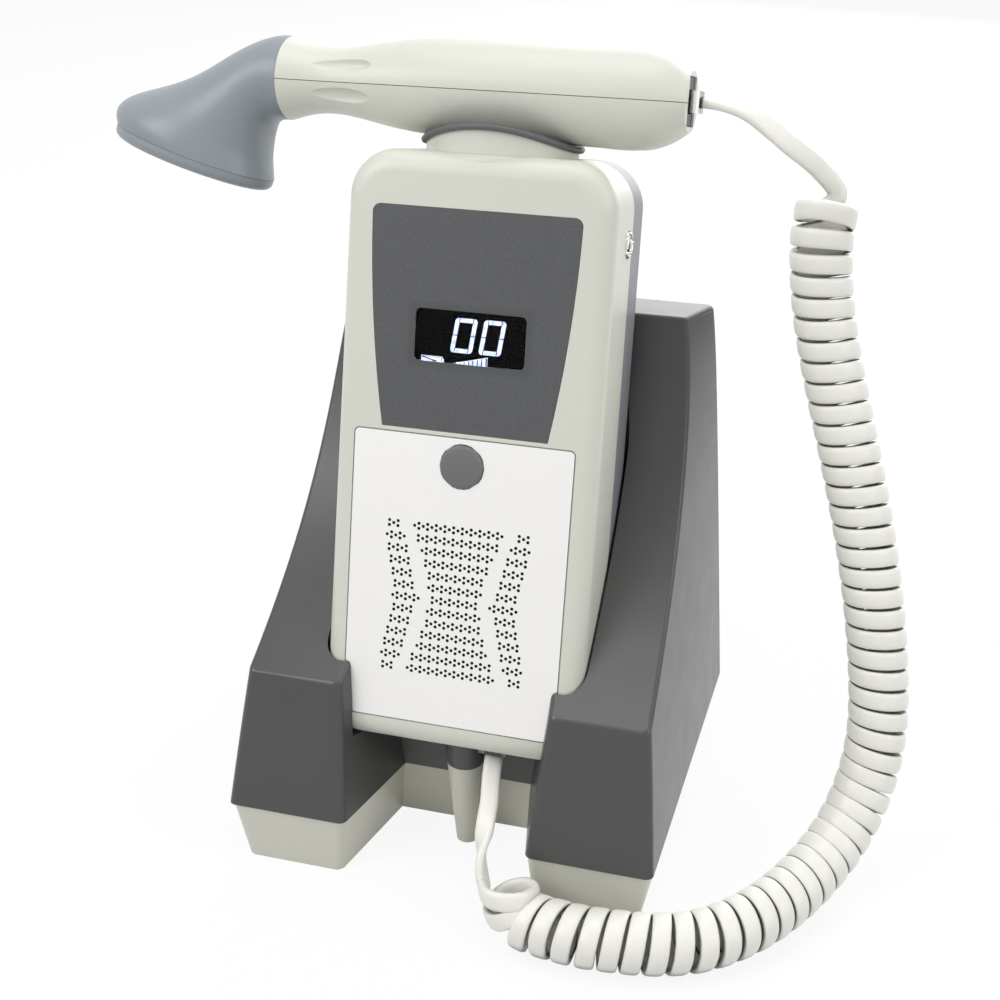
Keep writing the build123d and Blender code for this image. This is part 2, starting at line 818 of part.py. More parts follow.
def battery_pack():
    """Four cells side by side in their tray."""
    cells = []
    middle = (cell_count - 1) / 2
    y = tray_y + tray_wall + 0.1 + cell_diameter / 2
    z = (tray_foot + tray_top - cell_length) / 2
    for k in range(cell_count):
        x = (k - middle) * (cell_diameter + 0.3)
        cell = rod(cell_diameter / 2, cell_length, x, y, z)
        tip = rod(3, 1.2, x, y, z + cell_length)
        cells.append(lean_back(cell + tip))
    return Compound(children=cells)


def battery_tray():
    """The open box that holds the cells, against the ledge round the cover's opening."""
    outer = block(-tray_half - tray_wall, tray_half + tray_wall, tray_y, ledge_y,
                  tray_foot, tray_top)
    inner = block(-tray_half, tray_half, tray_y + tray_wall, console_depth,
                  tray_foot + tray_wall, tray_top - tray_wall)
    return lean_back(outer - inner)


def battery_cover():
    """The cover, held by a snap that a fingernail opens; it shows a shallow thumb dip."""
    start = console_depth - cover_thickness + 0.05
    cover = extrude(front_plane(start) * cover_outline(), -(console_depth - start))
    dip = Location((0, console_depth + 17.0, cover_foot + cover_height - 10.0)) * Sphere(18.0)
    return lean_back(cover - dip)


def charge_pads():
    pads = [lean_back(rod(pad_diameter / 2, 1.0, x, y, 0)) for x, y in pin_places]
    return Compound(children=pads)


def saddle_cut(lift=0.0):
    """The hollow of the saddle: a wide cylinder across the post."""
    axis_z = saddle_low + saddle_radius + lift
    bar = Cylinder(saddle_radius, 2 * post_diameter)
    return Location((0, post_y, axis_z), (0, 90, 0)) * bar


def saddle_post():
    """The round post on the console's top. In front it ends level with the top, so that it
    doesn't run down over the shell's rounded edge."""
    post = rod(post_diameter / 2, 40, 0, post_y, console_height - 6)
    half = post_diameter / 2 + 1
    over_edge = block(-half, half, -10, front_round, console_height - 7, console_height)
    return lean_back(post - console_solid() - over_edge - saddle_cut(-rim_thickness))


def saddle_rim():
    """The rubber pad that lines the saddle and laps over the post's edge."""
    disc = rod(post_diameter / 2 + rim_overhang, 30, 0, post_y, console_height)
    lining = disc & saddle_cut(-rim_thickness)
    top = saddle_cut()
    lining -= top
    return lean_back(lining)


# The probe

def oval(x, half_depth, half_height, drop=0.0):
    """A section of the handle, square to its axis."""
    plane = Plane(origin=(x, post_y, probe_axis_z - drop), x_dir=(0, 1, 0), z_dir=(1, 0, 0))
    return plane * Ellipse(half_depth, half_height)


handle_stations = [
    (probe_joint_x, 0.90, 0.85),
    (-57.5, 0.77, 0.666),
    (-43.0, 0.84, 0.79),
    (-28.5, 0.95, 0.935),
    (-14.0, 0.99, 0.985),
    (0.5, 1.00, 1.00),
    (15.0, 1.00, 1.00),
    (29.5, 1.00, 1.00),
    (probe_barrel_x, 1.00, 1.00),
]


def handle_solid(inset=0.0):
    """The handle from the head's joint to the tail: a waist for the fingers, a long
    full barrel and a tail that rounds down to a small end face."""
    sections = []
    for x, wide, high in handle_stations:
        sections.append(oval(x, wide * probe_depth / 2 - inset, high * probe_height / 2 - inset))
    barrel = loft(sections)
    length = probe_tail_x - inset - probe_barrel_x
    tail = []
    for share in (0.0, 0.34, 0.67, 1.0):
        drop = share ** 2
        wide = probe_depth + (tail_depth - probe_depth) * drop
        high = probe_height + (tail_height - probe_height) * drop
        tail.append(oval(probe_barrel_x + length * share, wide / 2 - inset, high / 2 - inset))
    return barrel + loft(tail)


def finger_rest(up, front):
    """A shallow oval hollow beside the parting line, at the handle's waist."""
    side = -1 if front else 1
    waist = 0.775 * probe_depth / 2
    ball = scale(Sphere(1.0), by=(11.0, 3.0, 3.0))
    out = math.sqrt(1 - (5.2 / (0.67 * probe_height / 2)) ** 2) * waist
    y = post_y + side * (out + 3.0 - finger_depth)
    return Location((-51.6, y, probe_axis_z + up * 5.2)) * ball


split_z = probe_axis_z - probe_split_drop
probe_post_places = [-28.0, 24.0]
probe_board_z = split_z - 4.0


def handle_half(top):
    """One half of the handle's shell, above or below the parting plane."""
    shape = handle_solid() - handle_solid(probe_wall)
    low = block(-200, 200, -50, 100, 0, split_z - 0.1)
    high = block(-200, 200, -50, 100, split_z + 0.1, 400)
    shape &= high if top else low
    for front in (True, False):
        shape -= finger_rest(1 if top else -1, front)
    if not top:
        core = handle_solid(probe_wall / 2)
        for x in probe_post_places:
            shape += rod(2.5, 20.0, x, post_y, probe_board_z - 20.0) & core
    return lean_back(shape - tail_room(0.1))


def probe_board():
    """The probe's board on its two posts."""
    z = probe_board_z
    half = probe_depth / 4 - 0.5
    front = probe_joint_x + 28.0
    rear = probe_barrel_x - 8.0
    chip = front + 0.3 * (rear - front)
    board = block(front, rear, post_y - half, post_y + half, z, z + board_thickness)
    board += block(chip, chip + 1.5 * half, post_y - 0.6 * half, post_y + 0.6 * half,
                   z + board_thickness, z + 2 * board_thickness)
    board += rod(0.4 * half, 0.75 * half, rear - 2.75 * half, post_y, z + board_thickness)
    return lean_back(board)


def tail_room(grow=0.0):
    """The room for the end piece, open to the tail."""
    half = tail_insert_depth / 2 + grow
    high = tail_insert_height / 2 + grow
    return block(probe_tail_x - tail_insert_length, probe_tail_x + 1,
                 post_y - half, post_y + half, probe_axis_z - high, probe_axis_z + high)


def plug_room(x0, x1):
    """The opening that the modular plug slides into, along the probe."""
    half = plug_width / 2 + plug_gap
    high = plug_height / 2 + plug_gap
    return block(x0, x1, post_y - half, post_y + half, probe_axis_z - high, probe_axis_z + high)


def probe_tail_insert():
    """The dark end piece that carries the modular socket."""
    half = tail_insert_depth / 2
    high = tail_insert_height / 2
    x0 = probe_tail_x - tail_insert_length
    body = block(x0, probe_tail_x - tail_insert_sink, post_y - half, post_y + half,
                 probe_axis_z - high, probe_axis_z + high)
    return lean_back(body - plug_room(x0 - 1, probe_tail_x + 1))


plug_end_x = probe_tail_x - tail_insert_sink + plug_out


def probe_plug():
    """The plug in the probe's tail, latch up, cord away to the right."""
    place = Plane(origin=(plug_end_x, post_y, probe_axis_z), x_dir=(0, 1, 0), z_dir=(-1, 0, 0))
    return lean_back(place.location * modular_plug(plug_length))


def probe_socket():
    """The socket behind the end piece, with its wires' blind end towards the board."""
    half = plug_width / 2 + 1.6
    high = plug_height / 2 + 1.6
    x1 = probe_tail_x - tail_insert_length
    body = block(x1 - 8, x1, post_y - half, post_y + half,
                 probe_axis_z - high, probe_axis_z + high)
    return lean_back(body - plug_room(x1 - 3, x1 + 1))


def face_plane(up):
    """Plane of the head's seam, raised by a distance along its own normal."""
    tilt = math.radians(face_tilt)
    normal = Vector(math.sin(tilt), 0, math.cos(tilt))
    centre = Vector(face_centre_x, post_y, probe_axis_z - face_centre_below)
    return Plane(origin=centre + normal * up, x_dir=(math.cos(tilt), 0, -math.sin(tilt)),
                 z_dir=normal)


head_stations = [
    (-84.4, 4.7, 19.3, 14.0, 15.6),
    (-92.0, 11.6, 46.2, 16.6, 17.2),
    (-100.8, 16.6, 64.0, 23.4, 19.4),
    (-105.3, 20.0, 69.5, 27.6, 20.8),
]


def head_sections(inset=0.0):
    """Sections of the head: the handle's oval end turns down and spreads into the long
    oval of the face. Each has its centre's place and drop below the handle's axis, its
    lean and its half sizes."""
    joint = oval(probe_joint_x - face_gap, 0.90 * probe_depth / 2 - inset,
                 0.85 * probe_height / 2 - inset)
    sections = [joint]
    for x, below, turn, half_long, half_deep in head_stations:
        angle = math.radians(turn)
        plane = Plane(origin=(x, post_y, probe_axis_z - below), x_dir=(0, 1, 0),
                      z_dir=(-math.cos(angle), 0, -math.sin(angle)))
        sections.append(plane * Ellipse(half_deep - inset, half_long - inset))
    seam = face_plane(face_gap)
    across = Plane(origin=seam.origin, x_dir=(0, 1, 0), z_dir=-seam.z_dir)
    sections.append(across * Ellipse(face_depth / 2 - inset, face_length / 2 - inset))
    return sections


def probe_head():
    return lean_back(loft(head_sections()))


def probe_face():
    """The transducer's face: a flat oval disc with a rounded rim."""
    outline = face_plane(0) * Ellipse(face_length / 2, face_depth / 2)
    disc = extrude(outline, -face_thickness)
    disc = fillet(disc.faces().sort_by(Axis.Z)[0].edges(), 2.4)
    return lean_back(disc - crystal_room(0.05))


def crystal_room(grow=0.0):
    """Room for the two half-moon crystals, sender and receiver, behind the face."""
    plane = face_plane(0)
    disc = plane * Circle(9.0 + grow)
    room = extrude(disc, -1.6 - grow)
    slot = extrude(plane * Rectangle(1.2 - 2 * grow, 30), -4)
    return room - slot


def piezo_crystals():
    return lean_back(crystal_room())


# The cord

def cord_route_probe():
    """Corners of the cord from the probe's tail to the top of its coil."""
    start = console_point(plug_end_x, post_y, probe_axis_z)
    return [start, start + Vector(11.4, 0, 0), start + Vector(29.4, 0, -7.4),
            start + Vector(45.4, 0, -19.4), Vector(*coil_route[-1])]


def cord_route_console():
    """Corners of the cord from the console's socket to the coil on the floor."""
    start = console_point(socket_x, socket_y, shell_wall - plug_out)
    down = console_point(socket_x, socket_y, shell_wall - plug_out - 22.0)
    return [start, down, Vector(15.5, -62.0, 12.2), Vector(*coil_route[0])]


coil_route = [
    (29.5, -72.0, 11.2), (36.0, -76.8, 10.4), (43.5, -80.8, 10.1), (53.0, -83.2, 10.0),
    (64.0, -83.2, 10.0), (77.0, -81.4, 10.0), (90.0, -76.4, 10.0), (101.5, -66.2, 10.0),
    (110.6, -54.2, 10.4), (118.0, -42.4, 12.2), (125.0, -30.4, 16.6), (130.8, -20.6, 25.0),
    (134.6, -13.4, 37.4), (136.0, -8.8, 52.6), (134.4, -4.4, 70.0), (130.4, 1.0, 92.0),
    (124.6, 6.5, 116.0), (117.0, 12.0, 141.0), (109.6, 16.2, 164.0), (104.8, 18.8, 181.0),
    (103.0, 20.8, 195.0), (104.6, 22.2, 209.4),
]


def corner_radii(points):
    """For each corner, 0.45 of its shorter run over the tangent of half its turn."""
    radii = []
    for a, b, c in zip(points, points[1:], points[2:]):
        run = min((b - a).length, (c - b).length)
        turn = math.radians((b - a).get_angle(c - b))
        radii.append(0.45 * run / math.tan(turn / 2))
    return radii


def tube(points, label):
    """A round tube along straight runs joined by arcs; its volume is checked."""
    radii = corner_radii(points)
    path = FilletPolyline(*points, radius=radii)
    start = Plane(origin=points[0], z_dir=points[1] - points[0])
    solid = sweep(start * Circle(wire / 2), path=path)
    share = solid.volume / (math.pi * wire ** 2 / 4 * path.length)
    print(label, "radii", [round(r, 1) for r in radii], "length", round(path.length, 1),
          "volume over section times length", round(share, 4))
    return solid


def smooth_line(points, first, last, steps=40):
    """Points along a Hermite curve through the route, with chord-length tangents."""
    points = [Vector(*p) for p in points]
    slopes = [first.normalized()]
    for a, b, c in zip(points, points[1:], points[2:]):
        before = (b - a).length
        after = (c - b).length
        slope = (b - a) * (after / before) + (c - b) * (before / after)
        slopes.append(slope * (1 / (before + after)))
    slopes.append(last.normalized())
    line = []
    for a, b, u, v in zip(points, points[1:], slopes, slopes[1:]):
        chord = (b - a).length
        for k in range(steps):
            t = k / steps
            t2 = t * t
            t3 = t2 * t
            line.append(a * (2 * t3 - 3 * t2 + 1) + u * (chord * (t3 - 2 * t2 + t))
                        + b * (3 * t2 - 2 * t3) + v * (chord * (t3 - t2)))
    line.append(points[-1])
    return line


def coil_frames():
    """Dense points of the coil's axis with distances along it and a frame that turns
    with the axis but never about it."""
    start = cord_route_console()
    end = cord_route_probe()
    line = smooth_line(coil_route, start[-1] - start[-2], end[-2] - end[-1])
    along = [0.0]
    for a, b in zip(line, line[1:]):
        along.append(along[-1] + (b - a).length)
    ways = [(start[-1] - start[-2]).normalized()]
    for a, c in zip(line, line[2:]):
        ways.append((c - a).normalized())
    ways.append((end[-2] - end[-1]).normalized())
    side = Vector(0, 0, 1)
    sides = []
    for way in ways:
        side = (side - way * side.dot(way)).normalized()
        sides.append(side)
    return line, along, ways, sides


coil_radius = (coil_outside - wire) / 2


def coil_curve():
    """The centre line of the curls as a function of the turn: a left-handed helix of
    radius coil_radius about the axis. Over the first and last turns it is drawn in to the
    axis by half a cosine, and those turns take more of the axis."""
    line, along, ways, sides = coil_frames()
    total = along[-1]
    pitch = (total - 2 * coil_lead_length) / (coil_turns - 2 * coil_lead)

    def place(turn):
        near = min(turn, coil_turns - turn)
        if near < coil_lead:
            target = coil_lead_length * near / coil_lead
        else:
            target = coil_lead_length + pitch * (near - coil_lead)
        if turn > coil_turns / 2:
            target = total - target
        low = 0
        high = len(along) - 1
        while high - low > 1:
            mid = (low + high) // 2
            if along[mid] <= target:
                low = mid
            else:
                high = mid
        f = (target - along[low]) / (along[high] - along[low])
        centre = line[low] * (1 - f) + line[high] * f
        way = (ways[low] * (1 - f) + ways[high] * f).normalized()
        side = sides[low] * (1 - f) + sides[high] * f
        side = (side - way * side.dot(way)).normalized()
        radius = coil_radius
        if near < coil_lead:
            radius *= (1 - math.cos(math.pi * near / coil_lead)) / 2
        angle = -2 * math.pi * turn
        return (centre + side * (radius * math.cos(angle))
                + way.cross(side) * (radius * math.sin(angle)))

    return place, total, ways[0], ways[-1]


def biarc(p1, t1, p2, t2):
    """Two arcs from p1 to p2 that leave along t1 and arrive along t2; they meet at the
    middle of the points at an equal distance d along the two tangents."""
    v = p2 - p1
    t = t1 + t2
    grip = 2 * (1 - t1.dot(t2))
    if grip < 1e-9:
        d = v.dot(v) / (4 * v.dot(t2))
    else:
        d = (math.sqrt(v.dot(t) ** 2 + grip * v.dot(v)) - v.dot(t)) / grip
    middle = (p1 + p2 + (t1 - t2) * d) * 0.5
    way = ((p2 - t2 * d) - (p1 + t1 * d)).normalized()
    return [Edge.make_tangent_arc(p1, t1, middle), Edge.make_tangent_arc(middle, way, p2)]


def coil_wire():
    """The curls as biarcs of half a turn each."""
    place, total, first, last = coil_curve()
    step = 1e-3
    turns = [k / 2 for k in range(2 * coil_turns + 1)]
    spots = [place(turn) for turn in turns]
    ways = [first]
    for turn in turns[1:-1]:
        ways.append((place(turn + step) - place(turn - step)).normalized())
    ways.append(last)
    edges = []
    for k in range(len(turns) - 1):
        edges += biarc(spots[k], ways[k], spots[k + 1], ways[k + 1])
    return edges, total


def least_gap(edges):
    """Least distance between the centre lines of neighbouring curls, less the wire."""
    spots = []
    along = []
    done = 0.0
    for edge in edges:
        for k in range(6):
            spots.append(tuple(edge @ (k / 6)))
            along.append(done + edge.length * k / 6)
        done += edge.length
    least = 1e9
    for i in range(len(spots)):
        for j in range(i + 8, min(len(spots), i + 60)):
            if along[j] - along[i] > 3 * wire:
                least = min(least, math.dist(spots[i], spots[j]))
    return least - wire, min(spot[2] for spot in spots) - wire / 2


def cord_coil():
    """The curly stretch: one unbroken four-sided tube, curl after curl. Each arc is swept
    from the end face of the one before, and their sides are sewn into one skin."""
    edges, total = coil_wire()
    gap, lowest = least_gap(edges)
    section = Plane(origin=edges[0] @ 0, z_dir=edges[0] % 0) * RegularPolygon(wire / 2, 4)
    area = section.area
    skin = []
    for edge in edges:
        faces = sweep(section, path=Wire([edge])).faces()
        start = min(faces, key=lambda face: (face.center() - edge @ 0).length)
        end = min(faces, key=lambda face: (face.center() - edge @ 1).length)
        if not skin:
            skin.append(start)
        skin += [face for face in faces if face is not start and face is not end]
        section = end
    skin.append(section)
    solid = Solid(Shell(skin))
    length = Wire(edges).length
    smallest = min(edge.radius for edge in edges if edge.geom_type == GeomType.CIRCLE)
    print("coil axis", round(total, 1), "tube", round(length, 1),
          "least gap to itself", round(gap, 2), "lowest", round(lowest, 2),
          "least radius", round(smallest, 2), "volume over section times length",
          round(solid.volume / (area * length), 4))
    return solid


def cord_probe_run():
    return tube(cord_route_probe(), "cord at the probe")


def cord_unit_run():
    return tube(cord_route_console(), "cord at the console")


nodes = [
    stand_upper_shell, stand_base, stand_feet, stand_screws, charger_board, contact_block,
    charge_contacts, dc_inlet, front_shell, rear_shell, shell_screws, graphic_overlay,
    display_lens, lcd_module, grille_plate, speaker, main_board, board_screws,
    button_switch, headphone_jack, headphone_nut, cord_socket, unit_plug, battery_pack,
    battery_tray, battery_cover, charge_pads, saddle_post, saddle_rim, power_button,
    probe_head, probe_face, piezo_crystals, probe_board, probe_socket, probe_tail_insert,
    probe_plug, cord_probe_run, cord_coil, cord_unit_run,
]

for make in nodes:
    export_step(make(), f"parts/{make.__name__}.step")
export_step(handle_half(True), "parts/probe_handle_upper.step")
export_step(handle_half(False), "parts/probe_handle_lower.step")
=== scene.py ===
# %% [markdown]
# # A bedside vascular doppler in its charging stand
# The object is a handheld ultrasound unit: a console with a loudspeaker and a small display,
# a probe that rests across its saddle, a curly cord between the two, and a dark stand that
# charges it. The CAD model already has every solid in its place, so this script only loads
# it as a fixed frame, gives each part its finish, and adds what is too fine for CAD.

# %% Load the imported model
import math
import bpy
import numpy as np
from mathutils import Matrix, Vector
from mathutils.geometry import delaunay_2d_cdt


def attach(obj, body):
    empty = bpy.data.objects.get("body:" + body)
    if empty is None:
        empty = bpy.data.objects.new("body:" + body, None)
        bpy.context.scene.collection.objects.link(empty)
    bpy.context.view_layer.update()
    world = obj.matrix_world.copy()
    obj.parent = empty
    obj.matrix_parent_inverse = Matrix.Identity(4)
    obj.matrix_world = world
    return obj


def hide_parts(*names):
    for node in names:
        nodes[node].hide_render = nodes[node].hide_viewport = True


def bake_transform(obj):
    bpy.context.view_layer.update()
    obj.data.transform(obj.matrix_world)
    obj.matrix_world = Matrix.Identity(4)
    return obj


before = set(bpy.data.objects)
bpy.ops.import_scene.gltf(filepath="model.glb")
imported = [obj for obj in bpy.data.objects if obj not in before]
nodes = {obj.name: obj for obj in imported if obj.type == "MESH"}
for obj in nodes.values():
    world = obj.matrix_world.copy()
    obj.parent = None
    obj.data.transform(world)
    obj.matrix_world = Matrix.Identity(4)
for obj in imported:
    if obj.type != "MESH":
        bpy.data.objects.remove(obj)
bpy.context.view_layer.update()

# %% [markdown]
# ## Where the camera stands
# The photograph is a product shot from a little above and to the right, with a lens of about
# 57 mm on a 36 mm sensor. Verticals converge only slightly, so the camera is far away, and a
# long lens there keeps the stand's sides as steep as they are in the picture.

# %% Camera
CAMERA_PLACE = Vector((0.1357, -0.4585, 0.3484))
CAMERA_TARGET = Vector((0.0085, -0.015, 0.1234))
LENS_MM, SENSOR_MM = 56.66, 36.0
FARTHEST = 50.0


def look(place, target):
    """Rotation of a camera or lamp at a place that faces its target, with its top up."""
    return (Vector(target) - Vector(place)).to_track_quat("-Z", "Y").to_euler()


camera_data = bpy.data.cameras.new("camera")
camera_data.sensor_width = SENSOR_MM
camera_data.lens = LENS_MM
camera_data.clip_end = FARTHEST
camera = bpy.data.objects.new("camera", camera_data)
bpy.context.scene.collection.objects.link(camera)
camera.location = CAMERA_PLACE
camera.rotation_euler = look(CAMERA_PLACE, CAMERA_TARGET)
bpy.context.scene.camera = camera
bpy.context.scene.view_settings.view_transform = "Standard"
print("camera looks down by", round(math.degrees(math.pi / 2 - camera.rotation_euler.x), 1))

# %% [markdown]
# ## The line of the cord
# The real cord is one piece, moulded to a plug at each end. It leaves the probe's tail, falls
# into a curly part that hangs beside the stand and lies round its foot, and climbs to the
# socket under the console. Its middle line could be drawn by hand as hundreds of points, but
# a NURBS spline through a few loose control points bends as a soft cord does, so the line is
# one such spline, and everything else follows points read from it.

# %% Spline of the cord, from the probe's plug to the console's
CORD_POINTS = [
    (0.0615, 0.0222, 0.2474), (0.0729, 0.0222, 0.2474), (0.0864, 0.0222, 0.2387),
    (0.0942, 0.0222, 0.2314), (0.0988, 0.0220, 0.2257), (0.1024, 0.0217, 0.2211),
    (0.1008, 0.0213, 0.2102), (0.1021, 0.0208, 0.1950), (0.1048, 0.0188, 0.1810),
    (0.1096, 0.0162, 0.1640), (0.1170, 0.0120, 0.1410), (0.1246, 0.0065, 0.1160),
    (0.1304, 0.0010, 0.0920), (0.1344, -0.0044, 0.0700), (0.1360, -0.0088, 0.0526),
    (0.1346, -0.0134, 0.0374), (0.1308, -0.0206, 0.0250), (0.1250, -0.0304, 0.0166),
    (0.1180, -0.0424, 0.0122), (0.1106, -0.0542, 0.0104), (0.1015, -0.0662, 0.0100),
    (0.0900, -0.0764, 0.0100), (0.0770, -0.0814, 0.0100), (0.0640, -0.0832, 0.0100),
    (0.0535, -0.0838, 0.0099), (0.0450, -0.0826, 0.0096), (0.0365, -0.0802, 0.0084),
    (0.0308, -0.0782, 0.0105), (0.0290, -0.0765, 0.0185), (0.0230, -0.0700, 0.0280),
    (0.0152, -0.0540, 0.0325), (0.0147, -0.0429, 0.0444),
]


def read_spline(name, points):
    """Makes a NURBS spline of order 3 with these control points, and returns the points of
    its line, which Blender works out, as one array."""
    curve = bpy.data.curves.new(name, "CURVE")
    curve.dimensions = "3D"
    spline = curve.splines.new("NURBS")
    spline.points.add(len(points) - 1)
    spline.points.foreach_set("co", np.c_[np.array(points), np.ones(len(points))].ravel())
    spline.order_u = 3
    spline.use_endpoint_u = True
    spline.resolution_u = 24
    holder = bpy.data.objects.new(name, curve)
    mesh = bpy.data.meshes.new_from_object(holder)
    line = np.zeros(len(mesh.vertices) * 3)
    mesh.vertices.foreach_get("co", line)
    bpy.data.objects.remove(holder)
    bpy.data.curves.remove(curve)
    bpy.data.meshes.remove(mesh)
    return line.reshape(-1, 3)


def along(line):
    """Distance travelled along a line of points: the running sum of its steps."""
    steps = np.linalg.norm(np.diff(line, axis=0), axis=1)
    return np.concatenate([[0.0], np.cumsum(steps)])


def evenly(line, count):
    """The same line with its points at equal distances, by linear interpolation."""
    travelled = along(line)
    places = np.linspace(0.0, travelled[-1], count)
    return places, np.stack([np.interp(places, travelled, line[:, k]) for k in range(3)], 1)


cord_line = read_spline("cord_line", CORD_POINTS)
print("cord line", len(cord_line), "points,", round(along(cord_line)[-1] * 1000, 1), "mm")

# %% [markdown]
# ## The curls
# A curly cord is a flat cord wound on a rod and baked, so that it keeps its turns. Here the
# turns are left-handed and flat against each other, and the last one lies open on the table
# where the cord is pulled up to its plug. A curl could be a modifier on a straight mesh, but
# its ends have to run out smoothly into the straight parts, so the helix is worked out: a
# point of the cord is the middle line plus a radius that grows from nothing at each end of
# the curly part, turned by an angle that runs only inside it.

# %% Path of the cord with its curls
CORD_WIDTH = 0.0062
CORD_THICKNESS = 0.0030
COIL_OUTSIDE = 0.0194
TURNS = 50.98
START_TURN = 0.754
COIL_FROM = 0.0491
COIL_TO = 0.0443
RUN_OUT_TOP = 0.0208
RUN_OUT_END = 0.030
LOOSE_TURNS = 0.0155
LOOSER_AT_TOP = 0.18
LOOSER_AT_END = -0.05
LEAN_AT_TOP, LEAN_AT_END = 0.50, 0.15
LEAN_FADE_TOP, LEAN_FADE_END = 0.020, 0.010
GET_GOING = 0.004
TWIST_OVER = 0.035
COIL_SIDE_AHEAD, COIL_SIDE_OVER = 0.008, 0.012
RUN_SIDE_AFTER, RUN_SIDE_OVER = 0.001, 0.026
LOWEST, GIVE = 0.0018, 0.0004
REFERENCE = np.array([0.505, -0.808, 0.303])
FLAT_TO_VIEWER = np.array([0.25, -0.86, 0.44])
PATH_POINTS = 40000


def unit(vectors):
    """Each vector over its own length."""
    return vectors / np.linalg.norm(vectors, axis=-1, keepdims=True)


def smooth_step(x):
    """0 before 0, 1 after 1, and 3x^2 - 2x^3 between."""
    x = np.clip(x, 0.0, 1.0)
    return x * x * (3.0 - 2.0 * x)


def curly_path(line, count):
    """Points of the cord and the side of it that is thin. With T the direction of the line,
    A the reference direction made square to T, and B = T x A, a point is
    P + R (A cos t + B sin t), where R rises to the coil's middle radius over the run-outs and
    t falls by a full turn per curl, a little more slowly at the top, where the curls carry
    the rest and stand looser. The rings at both ends lean: they move by -T R cos t times a
    share that fades over 20 mm at the top and 10 mm at the end. In a curl the thin side
    faces away from the axis. In the runs it turns by a smooth blend: up at the probe's plug,
    then towards the viewer. Last, z becomes L + G ln(1 + e^((z - L) / G)): a strand that
    would sink into the table is pressed flat on it instead."""
    places, middle = evenly(line, count)
    along_line = unit(np.gradient(middle, axis=0))
    side = unit(REFERENCE - along_line * (along_line @ REFERENCE)[:, None])
    across = np.cross(along_line, side)
    first, last = COIL_FROM, places[-1] - COIL_TO
    rate = 1.0 - LOOSER_AT_TOP * np.exp(-((places - first) / LOOSE_TURNS) ** 2)
    rate = rate - LOOSER_AT_END * np.exp(-((places - last) / LOOSE_TURNS) ** 2)
    rate = rate * smooth_step((places - first) / GET_GOING)
    rate = rate * smooth_step((last - places) / GET_GOING)
    turned = np.cumsum(rate)
    angle = -math.pi / 2 - START_TURN - 2 * math.pi * TURNS * turned / turned[-1]
    radius = (COIL_OUTSIDE - CORD_THICKNESS) / 2
    radius = radius * smooth_step((places - first + RUN_OUT_TOP) / RUN_OUT_TOP)
    radius = radius * smooth_step((last + RUN_OUT_END - places) / RUN_OUT_END)
    outward = side * np.cos(angle)[:, None] + across * np.sin(angle)[:, None]
    lean = LEAN_AT_TOP * np.exp(-((places - first) / LEAN_FADE_TOP) ** 2)
    lean = lean + LEAN_AT_END * np.exp(-((places - last) / LEAN_FADE_END) ** 2)
    off = outward * radius[:, None] - along_line * (lean * radius * np.cos(angle))[:, None]
    twist = smooth_step(places / TWIST_OVER)[:, None]
    facing = unit(np.array([0.0, 0.0, 1.0]) * (1.0 - twist) + FLAT_TO_VIEWER * twist)
    before = 1.0 - smooth_step((places - first + COIL_SIDE_AHEAD) / COIL_SIDE_OVER)[:, None]
    after = smooth_step((places - last - RUN_SIDE_AFTER) / RUN_SIDE_OVER)[:, None]
    thin = outward * (1.0 - before - after) - facing * before + FLAT_TO_VIEWER * after
    points = middle + off
    points[:, 2] = LOWEST + GIVE * np.log1p(np.exp((points[:, 2] - LOWEST) / GIVE))
    return points, thin


dense_path, dense_thin = curly_path(cord_line, PATH_POINTS)

# %% [markdown]
# ## The jacket of the cord
# The jacket is a flat oval, 6.2 mm wide and 3 mm thick. A bevel on a curve would twist it at
# will, so the tube is a grid of its own: one direction along the path, the other round the
# oval, whose thin side always faces away from the curl's axis.

# %% Tube of the cord
ROUND = 14
SQUARER = 0.6
TUBE_RINGS = 2600


def new_piece(name, points, faces, smooth=True):
    """A mesh object at the origin, with its place in its points."""
    mesh = bpy.data.meshes.new(name)
    mesh.from_pydata(np.asarray(points).tolist(), [], [list(map(int, f)) for f in faces])
    mesh.update()
    if smooth:
        mesh.shade_smooth()
    piece = bpy.data.objects.new(name, mesh)
    bpy.context.scene.collection.objects.link(piece)
    return piece


def grid_faces(rows, columns):
    """Four corners of each face of a grid whose rows are closed rings."""
    i, j = np.meshgrid(np.arange(rows - 1), np.arange(columns), indexing="ij")
    right = (j + 1) % columns
    corners = [i * columns + j, i * columns + right, (i + 1) * columns + right,
               (i + 1) * columns + j]
    return list(np.stack(corners, -1).reshape(-1, 4))


def tube_faces(rows, columns):
    """The faces of such a grid and a cap at each of its ends."""
    ring = np.arange(columns)
    return grid_faces(rows, columns) + [ring[::-1], ring + (rows - 1) * columns]


def cord_tube(name, path, thin, width, thickness):
    """Oval tube: with t the path's direction, e the thin side square to it and w = t x e,
    a point is P + w (width / 2) c|c|^(k-1) + e (thickness / 2) s|s|^(k-1), where c and s are
    the cosine and sine round the oval and k = 0.6 makes it squarer than an ellipse."""
    direction = unit(np.gradient(path, axis=0))
    out = unit(thin - direction * np.sum(thin * direction, 1)[:, None])
    wide = np.cross(direction, out)
    turn = np.linspace(0, 2 * math.pi, ROUND, endpoint=False)
    c = np.sign(np.cos(turn)) * np.abs(np.cos(turn)) ** SQUARER
    s = np.sign(np.sin(turn)) * np.abs(np.sin(turn)) ** SQUARER
    points = (path[:, None, :] + wide[:, None, :] * (c * width / 2)[None, :, None]
              + out[:, None, :] * (s * thickness / 2)[None, :, None]).reshape(-1, 3)
    return new_piece(name, points, tube_faces(len(path), ROUND))


